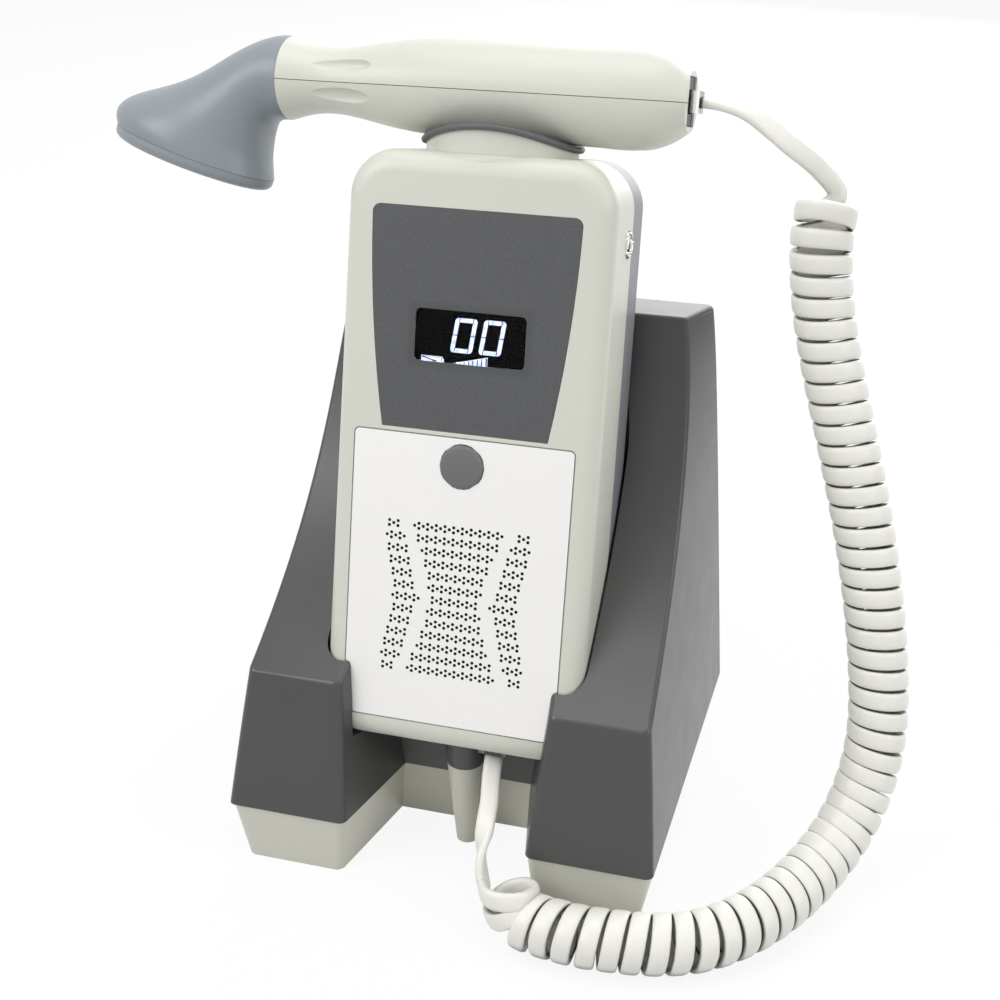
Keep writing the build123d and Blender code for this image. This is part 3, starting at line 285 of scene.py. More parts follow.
places, path = evenly(dense_path, TUBE_RINGS)
thin = np.stack([np.interp(places, along(dense_path), dense_thin[:, k]) for k in range(3)], 1)
cord = cord_tube("curly_cord", path, thin, CORD_WIDTH, CORD_THICKNESS)
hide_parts("cord_probe_run", "cord_coil", "cord_unit_run")
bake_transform(cord)
print("cord mesh", len(cord.data.polygons), "faces")

# %% [markdown]
# ## Colours and nodes
# Colours are written as sRGB hex values, as they would be picked from a paint card. One
# function turns them to the linear light that Blender works in, and one makes them lighter or
# darker there. Another adds a node with its settings and its wires, so that a material reads
# from top to bottom.

# %% Helpers for materials
def linear(hex_colour):
    """Linear red, green, blue and alpha of an sRGB hex value: c / 12.92 up to 0.04045, and
    ((c + 0.055) / 1.055)^2.4 above it."""
    c = np.array([int(hex_colour[k:k + 2], 16) for k in (1, 3, 5)]) / 255.0
    c = np.where(c <= 0.04045, c / 12.92, ((c + 0.055) / 1.055) ** 2.4)
    return (*c.tolist(), 1.0)


def shaded(hex_colour, share):
    """The same linear colour with its light times a share."""
    return tuple(c * share for c in linear(hex_colour)[:3]) + (1.0,)


def add(tree, kind, inputs=None, **settings):
    """Adds one node. Settings are the node's own; inputs holds, for each socket, a plain
    value or another node's output to wire to it."""
    node = tree.nodes.new("ShaderNode" + kind)
    for name, value in settings.items():
        setattr(node, name, value)
    for name, value in (inputs or {}).items():
        if isinstance(value, bpy.types.NodeSocket):
            tree.links.new(value, node.inputs[name])
        else:
            node.inputs[name].default_value = value
    return node


def new_material(name):
    """An empty material: its tree and the place of a point on the object."""
    material = bpy.data.materials.new(name)
    material.use_nodes = True
    tree = material.node_tree
    tree.nodes.clear()
    place = add(tree, "TexCoord").outputs["Object"]
    return material, tree, place


def close(tree, shader):
    """Wires a shader to the material's output."""
    add(tree, "OutputMaterial", {"Surface": shader.outputs[0]})


# %% [markdown]
# ## Moulded plastics
# Nearly everything on this object is ABS or a softer plastic, pressed against a steel mould
# whose surface was eroded by sparks. That leaves a fine even grain, a satin gloss, and a
# colour that goes all through. The same three things make each of them here: a grain as
# bump, a slow drift of the colour of a few percent, and a gloss that varies where hands rub
# it. Grain, drift and rubbing each have a size in millimetres.

# %% Moulded plastic
def moulded(name, colour, roughness, grain_mm, depth_mm, drift, painted_shade_mm=0):
    """Satin plastic: colour times (1 - drift .. 1) by a noise 30 mm wide, roughness within
    0.03 of its value by a noise 12 mm wide, and a bump of depth_mm from the grain. Given a
    distance for painted shade, the colour is multiplied by 0.12 where faces within that
    distance hide over half of the sky, up to 1 in the open: painted shade between close curls."""
    material, tree, place = new_material(name)
    slow = add(tree, "TexNoise", {"Vector": place, "Scale": 1000 / 30, "Detail": 2.0})
    rubbed = add(tree, "TexNoise", {"Vector": place, "Scale": 1000 / 12, "Detail": 3.0})
    grain = add(tree, "TexNoise", {"Vector": place, "Scale": 1000 / grain_mm, "Detail": 2.0,
                                   "Roughness": 0.6})
    tint = add(tree, "ValToRGB", {"Fac": slow.outputs["Fac"]})
    tint.color_ramp.elements[0].position = 0.3
    tint.color_ramp.elements[0].color = shaded(colour, 1 - drift)
    tint.color_ramp.elements[1].position = 0.7
    tint.color_ramp.elements[1].color = linear(colour)
    gloss = add(tree, "MapRange", {"Value": rubbed.outputs["Fac"], "From Min": 0.3,
                                   "From Max": 0.7, "To Min": roughness - 0.02,
                                   "To Max": roughness + 0.03})
    bump = add(tree, "Bump", {"Height": grain.outputs["Fac"], "Strength": 0.6,
                              "Distance": depth_mm / 1000})
    colour_out = tint.outputs["Color"]
    # Painted shade: the colour is darkened where nearby faces hide the sky, as between close
    # curls.
    if painted_shade_mm:
        hidden = add(tree, "AmbientOcclusion", {"Distance": painted_shade_mm / 1000}, samples=8)
        painted_shade_share = add(tree, "MapRange", {"Value": hidden.outputs["AO"], "From Min": 0.45,
                                            "From Max": 0.8, "To Min": 0.12, "To Max": 1.0})
        colour_out = add(tree, "MixRGB", {"Fac": 1.0, "Color1": colour_out,
                                          "Color2": painted_shade_share.outputs["Result"]},
                         blend_type="MULTIPLY").outputs["Color"]
    shader = add(tree, "BsdfPrincipled", {
        "Base Color": colour_out, "Roughness": gloss.outputs["Result"],
        "Normal": bump.outputs["Normal"], "IOR": 1.5})
    close(tree, shader)
    return material


cream_abs = moulded("ABS, spark-eroded, cream", "#D9DACF", 0.36, 0.5, 0.010, 0.02)
rear_abs = moulded("ABS, spark-eroded, blue-grey", "#85878D", 0.42, 0.5, 0.012, 0.03)
charcoal_abs = moulded("ABS, spark-eroded, charcoal", "#464746", 0.30, 0.6, 0.006, 0.04)
base_abs = moulded("ABS, spark-eroded, warm grey", "#D5D4C8", 0.38, 0.5, 0.010, 0.03)
head_abs = moulded("ABS, matt, slate grey", "#8D949B", 0.36, 0.5, 0.010, 0.03)
button_abs = moulded("Silicone rubber, moulded, grey", "#6A6B6A", 0.5, 0.4, 0.012, 0.03)
rim_rubber = moulded("Thermoplastic rubber, dark grey", "#5C5D5E", 0.5, 0.4, 0.01, 0.04)
foot_rubber = moulded("Nitrile rubber, black", "#2A2A2A", 0.75, 0.7, 0.04, 0.1)
tail_nylon = moulded("Nylon, glass-filled, dark grey", "#26262A", 0.45, 0.6, 0.02, 0.08)
black_nylon = moulded("Nylon, black", "#1E1E20", 0.45, 0.6, 0.02, 0.08)
# The cord's jacket carries painted shade in the gaps between its curls.
cord_pvc = moulded("Soft PVC jacket, ivory", "#F0EFE8", 0.36, 0.9, 0.02, 0.03,
                   painted_shade_mm=9)
cell_sleeve = moulded("Shrink sleeve, green PVC", "#3E7D5A", 0.3, 1.2, 0.02, 0.06)
white_ceramic = moulded("Lead zirconate ceramic", "#C9BFA8", 0.6, 0.3, 0.01, 0.08)
print("materials, the loaded ones and the plastics:", len(bpy.data.materials))

# %% [markdown]
# ## Metals
# The screws are zinc-plated steel, the pads and pins are gold on nickel, the nut of the
# headphone socket is bright nickel, and the plate over the loudspeaker is aluminium that was
# bead-blasted and anodised, which scatters light so evenly that it looks almost white. Metal
# shows what is round it, so each has its own colour and a fine unevenness in its gloss.

# %% Metal
def metal(name, colour, roughness, grain_mm, depth_mm):
    """Bare metal: full metallic, gloss uneven by a noise of the grain's size times six, and
    a bump of depth_mm from the grain."""
    material, tree, place = new_material(name)
    fine = add(tree, "TexNoise", {"Vector": place, "Scale": 1000 / grain_mm, "Detail": 3.0})
    broad = add(tree, "TexNoise", {"Vector": place, "Scale": 1000 / (6 * grain_mm)})
    gloss = add(tree, "MapRange", {"Value": broad.outputs["Fac"], "From Min": 0.3,
                                   "From Max": 0.7, "To Min": roughness * 0.95,
                                   "To Max": roughness * 1.05})
    bump = add(tree, "Bump", {"Height": fine.outputs["Fac"], "Strength": 0.5,
                              "Distance": depth_mm / 1000})
    shader = add(tree, "BsdfPrincipled", {
        "Base Color": linear(colour), "Metallic": 1.0, "Roughness": gloss.outputs["Result"],
        "Normal": bump.outputs["Normal"]})
    close(tree, shader)
    return material


zinc_steel = metal("Steel, zinc-plated", "#B9BCBE", 0.35, 0.8, 0.01)
gold_plate = metal("Brass, gold-plated", "#D8B25A", 0.25, 0.6, 0.005)
bright_nickel = metal("Brass, nickel-plated", "#DAD7D0", 0.18, 0.6, 0.005)
satin_aluminium = metal("Aluminium, bead-blasted and anodised", "#EAE9E7", 0.42, 0.35, 0.004)
print("materials with the metals:", len(bpy.data.materials))

# %% [markdown]
# ## Glass, film and boards
# The display shows its glass through a smoked acrylic lens. The grey panel round it is a
# polyester film printed from behind, with a fine speckle in the ink, and it carries a painted
# shade, slightly darker in a soft band round the window. The circuit boards are green
# glass-epoxy, whose weave shows faintly through the lacquer.

# %% Clear, printed and laminated materials
def clear(name, tint, roughness, ior, mirror=0.5):
    """Clear plastic: the light goes through it, dulled by a fine unevenness 3 mm wide where
    its roughness isn't 0. Mirror is 0.5 for a bare face and less for a coated one."""
    material, tree, place = new_material(name)
    haze = add(tree, "TexNoise", {"Vector": place, "Scale": 1000 / 3.0, "Detail": 2.0})
    gloss = add(tree, "MapRange", {"Value": haze.outputs["Fac"], "To Min": roughness * 0.7,
                                   "To Max": roughness * 1.3})
    shader = add(tree, "BsdfPrincipled", {
        "Base Color": linear(tint), "Roughness": gloss.outputs["Result"], "IOR": ior,
        "Transmission Weight": 1.0})
    shader.inputs["Specular IOR Level"].default_value = mirror
    close(tree, shader)
    return material


LEAN = math.radians(13.2)
CONSOLE_Y, CONSOLE_Z = -50.9, 47.4


def on_console(points):
    """Scene points in metres of console points in millimetres: x across, y into the console,
    z up its face. They turn back by the lean: y' = y cos a + z sin a, z' = z cos a - y sin a."""
    p = np.asarray(points, float)
    y = p[..., 1] * math.cos(LEAN) + p[..., 2] * math.sin(LEAN) + CONSOLE_Y
    z = p[..., 2] * math.cos(LEAN) - p[..., 1] * math.sin(LEAN) + CONSOLE_Z
    return np.stack([p[..., 0], y, z], -1) / 1000.0


WINDOW_MIDDLE = on_console([0.0, 0.0, 136.1])
WINDOW_HALF = (0.018, 0.00825)
# Painted shade round the display window: full up to 0.8 mm from its edge, gone at 3 mm.
WINDOW_SHADE_FULL, WINDOW_SHADE_GONE = 0.0008, 0.0030


def printed_film(name, ink, window_shade):
    """Printed film: speckle 0.45 mm wide in the ink, and a painted shade round the window, a
    darker colour that fades where the distance from the window's edge,
    max(|x| - half width, |z| - half height), goes from 0.8 to 3 mm."""
    material, tree, place = new_material(name)
    from_window = add(tree, "VectorMath", {0: place, 1: tuple(WINDOW_MIDDLE)},
                      operation="SUBTRACT")
    up = add(tree, "VectorMath", {0: from_window.outputs[0],
                                  1: (0.0, math.sin(LEAN), math.cos(LEAN))},
             operation="DOT_PRODUCT")
    parts = add(tree, "SeparateXYZ", {0: from_window.outputs[0]})
    high = add(tree, "Math", {0: up.outputs["Value"]}, operation="ABSOLUTE")
    wide = add(tree, "Math", {0: parts.outputs["X"]}, operation="ABSOLUTE")
    over = add(tree, "Math", {0: high.outputs[0], 1: WINDOW_HALF[1]}, operation="SUBTRACT")
    beside = add(tree, "Math", {0: wide.outputs[0], 1: WINDOW_HALF[0]}, operation="SUBTRACT")
    edge = add(tree, "Math", {0: over.outputs[0], 1: beside.outputs[0]}, operation="MAXIMUM")
    window_shade_share = add(tree, "MapRange", {"Value": edge.outputs[0], "From Min": WINDOW_SHADE_FULL,
                                  "From Max": WINDOW_SHADE_GONE, "To Min": 1.0, "To Max": 0.0},
               interpolation_type="SMOOTHSTEP")
    speckle = add(tree, "TexNoise", {"Vector": place, "Scale": 1000 / 0.45, "Detail": 2.0,
                                     "Roughness": 0.7})
    ramp = add(tree, "ValToRGB", {"Fac": speckle.outputs["Fac"]})
    ramp.color_ramp.elements[0].position = 0.38
    ramp.color_ramp.elements[0].color = shaded(ink, 0.82)
    ramp.color_ramp.elements[1].position = 0.62
    ramp.color_ramp.elements[1].color = shaded(ink, 1.16)
    tint = add(tree, "MixRGB", {"Fac": window_shade_share.outputs["Result"], "Color1": ramp.outputs["Color"],
                                "Color2": linear(window_shade)})
    bump = add(tree, "Bump", {"Height": speckle.outputs["Fac"], "Strength": 0.5,
                              "Distance": 0.00001})
    shader = add(tree, "BsdfPrincipled", {
        "Base Color": tint.outputs["Color"], "Roughness": 0.5, "IOR": 1.57,
        "Normal": bump.outputs["Normal"]})
    close(tree, shader)
    return material


def crossed_threads(tree, place, size_mm):
    """Threads at right angles: two wave textures, multiplied. A wave of scale s runs as
    sin(20 s x), so a thread and the gap beside it take 2 pi size_mm together."""
    waves = [add(tree, "TexWave", {"Vector": place, "Scale": 1000 / size_mm / 20},
                 bands_direction=axis) for axis in "XZ"]
    return add(tree, "Math", {0: waves[0].outputs["Fac"], 1: waves[1].outputs["Fac"]},
               operation="MULTIPLY")


def laminate(name, lacquer, size_mm):
    """Circuit board: lacquer over crossed glass threads, seen as a faint light and dark."""
    material, tree, place = new_material(name)
    weave = crossed_threads(tree, place, size_mm)
    ramp = add(tree, "ValToRGB", {"Fac": weave.outputs[0]})
    ramp.color_ramp.elements[0].color = shaded(lacquer, 0.8)
    ramp.color_ramp.elements[1].color = linear(lacquer)
    shader = add(tree, "BsdfPrincipled", {"Base Color": ramp.outputs["Color"],
                                          "Roughness": 0.3, "IOR": 1.5})
    shader.inputs["Coat Weight"].default_value = 0.5
    close(tree, shader)
    return material


# The lens is coated against glare, so it mirrors and bends light less than bare acrylic does.
clear_acrylic = clear("Acrylic, smoked, coated", "#B4B6BC", 0.0, 1.15, 0.05)
clear_polycarbonate = clear("Polycarbonate, clear", "#F6F8F8", 0.08, 1.58)
# The second colour of the film is painted shade round the display window.
overlay_film = printed_film("Polyester film, printed dark grey", "#4C4D4F", "#434548")
board_laminate = laminate("Glass-epoxy laminate, green", "#1F6B45", 0.8)
print("materials with glass, film and boards:", len(bpy.data.materials))

# %% [markdown]
# ## Dress the CAD parts
# A part whose shape is right stays as it is and only gets its finish. The list below says,
# for each finish, which parts wear it, the hidden ones too.

# %% Finish of each CAD part
FINISHES = [
    (charcoal_abs, ["stand_upper_shell"]),
    (base_abs, ["stand_base"]),
    (foot_rubber, ["stand_feet"]),
    (zinc_steel, ["stand_screws", "shell_screws", "board_screws", "speaker"]),
    (board_laminate, ["charger_board", "main_board", "probe_board"]),
    (black_nylon, ["contact_block", "dc_inlet", "headphone_jack", "cord_socket",
                   "button_switch", "battery_tray", "probe_socket"]),
    (gold_plate, ["charge_contacts", "charge_pads"]),
    (cream_abs, ["front_shell", "saddle_post", "probe_handle_upper", "probe_handle_lower"]),
    (rear_abs, ["rear_shell", "battery_cover"]),
    (overlay_film, ["graphic_overlay"]),
    (clear_acrylic, ["display_lens"]),
    (clear_polycarbonate, ["unit_plug", "probe_plug"]),
    (cell_sleeve, ["battery_pack"]),
    (rim_rubber, ["saddle_rim"]),
    (head_abs, ["probe_head", "probe_face"]),
    (white_ceramic, ["piezo_crystals"]),
    (tail_nylon, ["probe_tail_insert"]),
]


def wear(piece, material):
    """Leaves the piece with this one material."""
    piece.data.materials.clear()
    piece.data.materials.append(material)


for material, names in FINISHES:
    for name in names:
        wear(nodes[name], material)
wear(cord, cord_pvc)
dressed = {name for _, names in FINISHES for name in names}
print("dressed", len(dressed), "still to dress or replace:", sorted(set(nodes) - dressed))

# %% [markdown]
# ## The plate over the loudspeaker
# The real plate is a thin sheet with some five hundred punched holes, in an hourglass with a
# bowed strip at each side. The holes could be a pattern in the material, but then the black
# behind them would lie on the surface. Here they are real: their outlines and the plate's
# are the constraints of a triangulation, the triangles inside holes are dropped, and the
# sheet gets its thickness from a second copy of the same points.

# %% Places of the holes
PLATE_WIDTH, PLATE_HEIGHT, PLATE_FOOT = 72.0, 95.9, 8.5
PLATE_THICKNESS, PLATE_CORNER = 0.6, 1.5
BUTTON_Z, BUTTON_HOLE = 95.5, 14.7
COLUMN = 1.454
BAND = 4.01
TOP_BAND = 74.7
PAIR = 1.66
HOLE = 1.15
HOLE_SIDES, BUTTON_HOLE_SIDES = 8, 48
HALF_COLUMNS = [10, 9, 8, 7, 6, 6, 5, 6, 6, 7, 8, 9, 10]
SINGLE_ENDS = [0, 2, 5, 7, 10, 12]
STRIP_COLUMNS = [1, 2, 2, 2, 2, 2, 3, 2, 2, 2, 2, 2, 1]
STRIP_SINGLE_ENDS = [1, 6, 11]
WAIST_BAND, WAIST_OUT, STEP_OUT = 6, 16.4, 0.87
CLOTH_HALF_WIDTH, CLOTH_HALF_HEIGHT, CLOTH_MIDDLE = 33.0, 29.0, 50.0
CLOTH_CORNER, CLOTH_GAP, CLOTH_THICKNESS = 3.0, 0.05, 0.2
INSIDE = 0.97
WELD = 1e-6


def band_holes(half, single_ends, middle_x, z):
    """Holes of one band: columns from -half to half, a single hole in the middle line where
    the column is like the end one and ends are single, else a pair above and below it."""
    column = np.arange(-half, half + 1)
    like_end = (column - half) % 2 == 0
    single = like_end if single_ends else ~like_end
    x = middle_x + column * COLUMN
    ones = np.stack([x[single], np.full(single.sum(), z)], 1)
    low = np.stack([x[~single], np.full((~single).sum(), z - PAIR / 2)], 1)
    return np.concatenate([ones, low, low + [0.0, PAIR]])


def plate_holes():
    """All the holes: the hourglass, and strips whose middle stands 16.4 mm out at the waist
    and 0.87 mm more in each band away from it."""
    found = []
    for band, (half, strip) in enumerate(zip(HALF_COLUMNS, STRIP_COLUMNS)):
        z = TOP_BAND - band * BAND
        out = WAIST_OUT + STEP_OUT * abs(band - WAIST_BAND)
        found.append(band_holes(half, band in SINGLE_ENDS, 0.0, z))
        for side in (-1, 1):
            found.append(band_holes(strip, band in STRIP_SINGLE_ENDS, side * out, z))
    return np.concatenate(found)


holes = plate_holes()
print("holes in the plate:", len(holes))

# %% The punched plate
def circle(middle, radius, count):
    """Points on a circle, counted anticlockwise."""
    turn = np.linspace(0, 2 * math.pi, count, endpoint=False)
    return np.asarray(middle) + radius * np.stack([np.cos(turn), np.sin(turn)], 1)


def rounded_rectangle(half_x, half_z, middle_z, corner, steps=8):
    """Outline of a rectangle whose corners are quarter circles."""
    parts = []
    for k, (sx, sz) in enumerate([(1, 1), (-1, 1), (-1, -1), (1, -1)]):
        turn = np.linspace(0, math.pi / 2, steps) + k * math.pi / 2
        parts.append(np.stack([sx * (half_x - corner) + corner * np.cos(turn),
                               middle_z + sz * (half_z - corner) + corner * np.sin(turn)], 1))
    return np.concatenate(parts)


def sheet_with_holes(name, outline, loops, y_front, thickness):
    """A flat sheet on the console's face, from y_front inwards. Triangles whose middle lies
    within INSIDE of a hole's radius from its middle are dropped, and each loop gets a wall
    between the front copy of its points and the rear one."""
    rings = [outline] + loops
    points = np.concatenate(rings)
    starts = np.cumsum([0] + [len(r) for r in rings])
    edges = np.concatenate([np.stack([np.arange(len(r)), (np.arange(len(r)) + 1) % len(r)], 1)
                            + starts[k] for k, r in enumerate(rings)])
    result = delaunay_2d_cdt([Vector(p) for p in points], edges.tolist(), [], 0, WELD)
    flat = np.array([tuple(v) for v in result[0]])
    triangles = np.array(result[2])
    middles = flat[triangles].mean(1)
    keep = np.ones(len(triangles), bool)
    for loop in loops:
        away = np.linalg.norm(middles - loop.mean(0), axis=1)
        keep &= away > np.linalg.norm(loop - loop.mean(0), axis=1).max() * INSIDE
    triangles = triangles[keep]
    assert len(flat) == len(points)
    corners = flat[triangles]
    a, b = corners[:, 1] - corners[:, 0], corners[:, 2] - corners[:, 0]
    wrong = a[:, 0] * b[:, 1] - a[:, 1] * b[:, 0] < 0
    triangles[wrong] = triangles[wrong][:, ::-1]
    count = len(flat)
    front = np.stack([flat[:, 0], np.full(count, y_front), flat[:, 1]], 1)
    rear = front + [0.0, thickness, 0.0]
    outer = edges[:, 0] < starts[1]
    walls = np.stack([edges[:, 0], edges[:, 1], edges[:, 1] + count, edges[:, 0] + count], 1)
    walls[outer] = walls[outer][:, ::-1]
    faces = list(triangles) + list(triangles[:, ::-1] + count) + list(walls)
    return new_piece(name, on_console(np.concatenate([front, rear])), faces, smooth=False)


plate_outline = rounded_rectangle(PLATE_WIDTH / 2, PLATE_HEIGHT / 2,
                                  PLATE_FOOT + PLATE_HEIGHT / 2, PLATE_CORNER)
loops = [circle(h, HOLE / 2, HOLE_SIDES) for h in holes]
loops.append(circle((0, BUTTON_Z), BUTTON_HOLE / 2, BUTTON_HOLE_SIDES))
plate = sheet_with_holes("punched_plate", plate_outline, loops, 0.0, PLATE_THICKNESS)
cloth_outline = rounded_rectangle(CLOTH_HALF_WIDTH, CLOTH_HALF_HEIGHT, CLOTH_MIDDLE,
                                  CLOTH_CORNER)
dust_cloth = sheet_with_holes("dust_cloth", cloth_outline, [],
                              PLATE_THICKNESS + CLOTH_GAP, CLOTH_THICKNESS)
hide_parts("grille_plate")
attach(plate, "console")
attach(dust_cloth, "console")
wear(plate, satin_aluminium)
print("plate faces:", len(plate.data.polygons))

# %% [markdown]
# ## The cloth behind the plate
# A black woven cloth keeps dust out of the loudspeaker. Only dots of it show, so its weave is
# two crossed sets of threads, one every 2.5 mm, dark on darker.

# %% Dust cloth
def woven(name, thread, size_mm):
    """Plain weave: crossed threads, dark where either is low, with a bump of 0.1 mm."""
    material, tree, place = new_material(name)
    weave = crossed_threads(tree, place, size_mm)
    ramp = add(tree, "ValToRGB", {"Fac": weave.outputs[0]})
    ramp.color_ramp.elements[0].color = shaded(thread, 0.4)
    ramp.color_ramp.elements[1].color = linear(thread)
    bump = add(tree, "Bump", {"Height": weave.outputs[0], "Strength": 0.6,
                              "Distance": 0.0001})
    shader = add(tree, "BsdfPrincipled", {"Base Color": ramp.outputs["Color"],
                                          "Roughness": 0.9, "Normal": bump.outputs["Normal"]})
    close(tree, shader)
    return material


wear(dust_cloth, woven("Polyester cloth, black", "#161618", 0.4))

# %% [markdown]
# ## The display
# Behind the lens lies a black glass whose segments light up white with a blue edge: two
# slanted digits, a battery sign and a row of eight bars for the signal. Text from a font
# would have the wrong gaps, so each segment is its own thin plate, drawn as the corners of a
# polygon in millimetres on the glass.

# %% Plates for the display's segments
def slabs(name, polygons, y_front, thickness):
    """Thin plates on the console: each polygon of (x, z) in millimetres gets a front at
    y_front, a rear behind it and a wall round it."""
    points, faces = [], []
    for polygon in polygons:
        polygon = np.asarray(polygon, float)
        x, z = polygon[:, 0], polygon[:, 1]
        if np.sum(x * np.roll(z, -1) - np.roll(x, -1) * z) < 0:
            polygon = polygon[::-1]
        n, first = len(polygon), len(points)
        for y in (y_front, y_front + thickness):
            points += [(px, y, pz) for px, pz in polygon]
        faces.append([first + k for k in range(n)])
        faces.append([first + n + k for k in range(n)][::-1])
        faces += [[first + (k + 1) % n, first + k, first + n + k, first + n + (k + 1) % n]
                  for k in range(n)]
    return new_piece(name, on_console(points), faces, smooth=False)


DIGIT_WIDTH, DIGIT_HEIGHT, STROKE, GAP, SLANT = 7.15, 10.9, 1.35, 0.13, 0.137
CUT_NEAR, CUT_FAR, SIDE_END = 0.3, 0.9, 1.25
BARS, BAR_LEFT, BAR_RIGHT, BAR_STEP = 8, -6.0, -4.9, 1.42
BAR_FOOT, BAR_TOP_LEFT, BAR_TOP_RIGHT, BAR_RISE = 127.4, 127.75, 127.95, 0.3
SEGMENT_FRONT, SEGMENT_THICKNESS = 2.53, 0.05


def oblong(left, foot, right, top):
    """The corners of an upright rectangle."""
    return [(left, top), (right, top), (right, foot), (left, foot)]


def zero(left, foot):
    """The six lit segments of a 0: two bars, and four sides with their outer corner cut."""
    w, h, t, g = DIGIT_WIDTH, DIGIT_HEIGHT, STROKE, GAP
    side = [(0, h / 2 + g), (0, h - CUT_FAR), (CUT_NEAR, h - CUT_NEAR), (CUT_FAR, h),
            (SIDE_END, h), (SIDE_END, h - t), (t, h - t - CUT_NEAR), (t, h / 2 + g)]
    bar = oblong(SIDE_END + 2 * g, h - t, w - SIDE_END - 2 * g, h)
    shapes = [side, [(w - x, z) for x, z in side], [(x, h - z) for x, z in side],
              [(w - x, h - z) for x, z in side], bar, [(x, h - z) for x, z in bar]]
    return [[(left + x + SLANT * z, foot + z) for x, z in s] for s in shapes]


def signal_bar(k):
    """Bar k of the signal: each stands a step farther right and is taller, and its top slopes."""
    left, right = BAR_LEFT + BAR_STEP * k, BAR_RIGHT + BAR_STEP * k
    return [(left, BAR_FOOT), (right, BAR_FOOT), (right, BAR_TOP_RIGHT + BAR_RISE * k),
            (left, BAR_TOP_LEFT + BAR_RISE * k)]


digits = zero(-6.8, 131.1) + zero(2.45, 131.2)
battery = [
    oblong(-16.0, 129.15, -9.0, 129.35), oblong(-16.0, 127.05, -9.0, 127.25),
    oblong(-16.0, 127.25, -15.8, 129.15), oblong(-9.2, 127.25, -9.0, 129.15),
    oblong(-8.95, 127.7, -8.55, 128.7),
    [(-15.2, 129.0), (-9.4, 129.0), (-9.4, 127.65)],
    [(-15.65, 128.75), (-15.65, 127.4), (-9.9, 127.4)],
]
bars = [signal_bar(k) for k in range(BARS)]
frame_of_bars = [
    oblong(-7.4, 126.98, 5.6, 127.15),
    [(-7.4, 127.15), (5.6, 130.55), (5.6, 130.36), (-6.8, 127.15)],
    [(5.43, 127.15), (5.6, 127.15), (5.6, 130.4), (5.43, 130.36)],
]
shapes = digits + battery + bars + frame_of_bars
segments = slabs("display_segments", shapes, SEGMENT_FRONT, SEGMENT_THICKNESS)
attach(segments, "console")
print("segments of the display:", len(shapes))

# %% [markdown]
# ## Light of the display
# The lit segments glow evenly, a little bluer where the light leaks round their edges. A
# noise of 1.5 mm keeps the glow from being one flat value.

# %% Lit segments
def lit(name, colour, glow, strength):
    """Light from a panel: emission that goes between two colours by a noise 1.5 mm wide."""
    material, tree, place = new_material(name)
    uneven = add(tree, "TexNoise", {"Vector": place, "Scale": 1000 / 1.5})
    tint = add(tree, "ValToRGB", {"Fac": uneven.outputs["Fac"]})
    tint.color_ramp.elements[0].position = 0.35
    tint.color_ramp.elements[0].color = linear(colour)
    tint.color_ramp.elements[1].position = 0.6
    tint.color_ramp.elements[1].color = linear(glow)
    shader = add(tree, "BsdfPrincipled", {"Base Color": linear("#101216"), "Roughness": 0.4,
                                          "Emission Color": tint.outputs["Color"],
                                          "Emission Strength": strength})
    close(tree, shader)
    return material


def black_glass(name, ink, roughness):
    """Glass with black ink behind it: the ink a little lighter and darker by a noise 4 mm
    wide, under a weak mirror, because the glass is coated against glare."""
    material, tree, place = new_material(name)
    streak = add(tree, "TexNoise", {"Vector": place, "Scale": 1000 / 4.0})
    tint = add(tree, "ValToRGB", {"Fac": streak.outputs["Fac"]})
    tint.color_ramp.elements[0].color = (0.0, 0.0, 0.0, 1.0)
    tint.color_ramp.elements[1].color = linear(ink)
    shader = add(tree, "BsdfPrincipled", {"Base Color": tint.outputs["Color"],
                                          "Roughness": roughness, "IOR": 1.5})
    shader.inputs["Specular IOR Level"].default_value = 0.04
    close(tree, shader)
    return material


wear(segments, lit("Liquid crystal, lit", "#B4C6FF", "#F2F5FF", 3.0))
display_glass = black_glass("Glass, black behind", "#0A0A0C", 0.15)
wear(nodes["lcd_module"], display_glass)

# %% [markdown]
# ## The button
# The on-off button is a soft grey cap with a gently domed face and a rounded rim. It is
# turned, in the sense of a lathe: a profile of radius against depth is carried round the
# axis that it is pressed along.

# %% Turned button
def turned(name, profile, middle_x, middle_z, count=64):
    """Surface of revolution about the console's y axis: a point is the profile's radius
    round the axis, at the profile's depth. The ends close on the axis."""
    profile = np.asarray(profile, float)
    turn = np.linspace(0, 2 * math.pi, count, endpoint=False)
    ring = np.stack([np.cos(turn), np.zeros(count), np.sin(turn)], 1)
    points = (profile[:, None, :1] * ring[None] + [middle_x, 0.0, middle_z]
              + profile[:, None, 1:] * np.array([0.0, 1.0, 0.0]))
    return new_piece(name, on_console(points.reshape(-1, 3)), tube_faces(len(profile), count))


dome = [(r, -1.8 + 0.35 * (r / 6.0) ** 2) for r in np.linspace(0.05, 5.6, 12)]
rim = [(5.6 + 1.4 * math.sin(a), -0.35 - 1.14 * math.cos(a)) for a in
       np.linspace(0.15, math.pi / 2, 9)]
body = [(7.05, 0.5), (7.05, 2.55), (7.08, 2.6), (8.5, 2.62), (8.55, 2.7), (8.55, 3.5),
        (8.5, 3.58), (2.1, 3.6), (2.0, 3.7), (2.0, 4.75), (0.05, 4.8)]
button = turned("button_cap", dome + rim + body, 0.0, BUTTON_Z)
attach(button, "button")
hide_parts("power_button")
wear(button, button_abs)
print("button", [round(x * 1000, 1) for x in button.dimensions])

# %% [markdown]
# ## The bead on the saddle, the foot of its post and the nut
# The rubber of the saddle ends in a round bead that follows the saddle's edge: a circle seen
# from above, lifted in front and behind by the hollow's own radius. The post runs down over
# the shell's rounded edge, and the bright nut of the headphone socket stands a little proud,
# with four notches for its spanner.

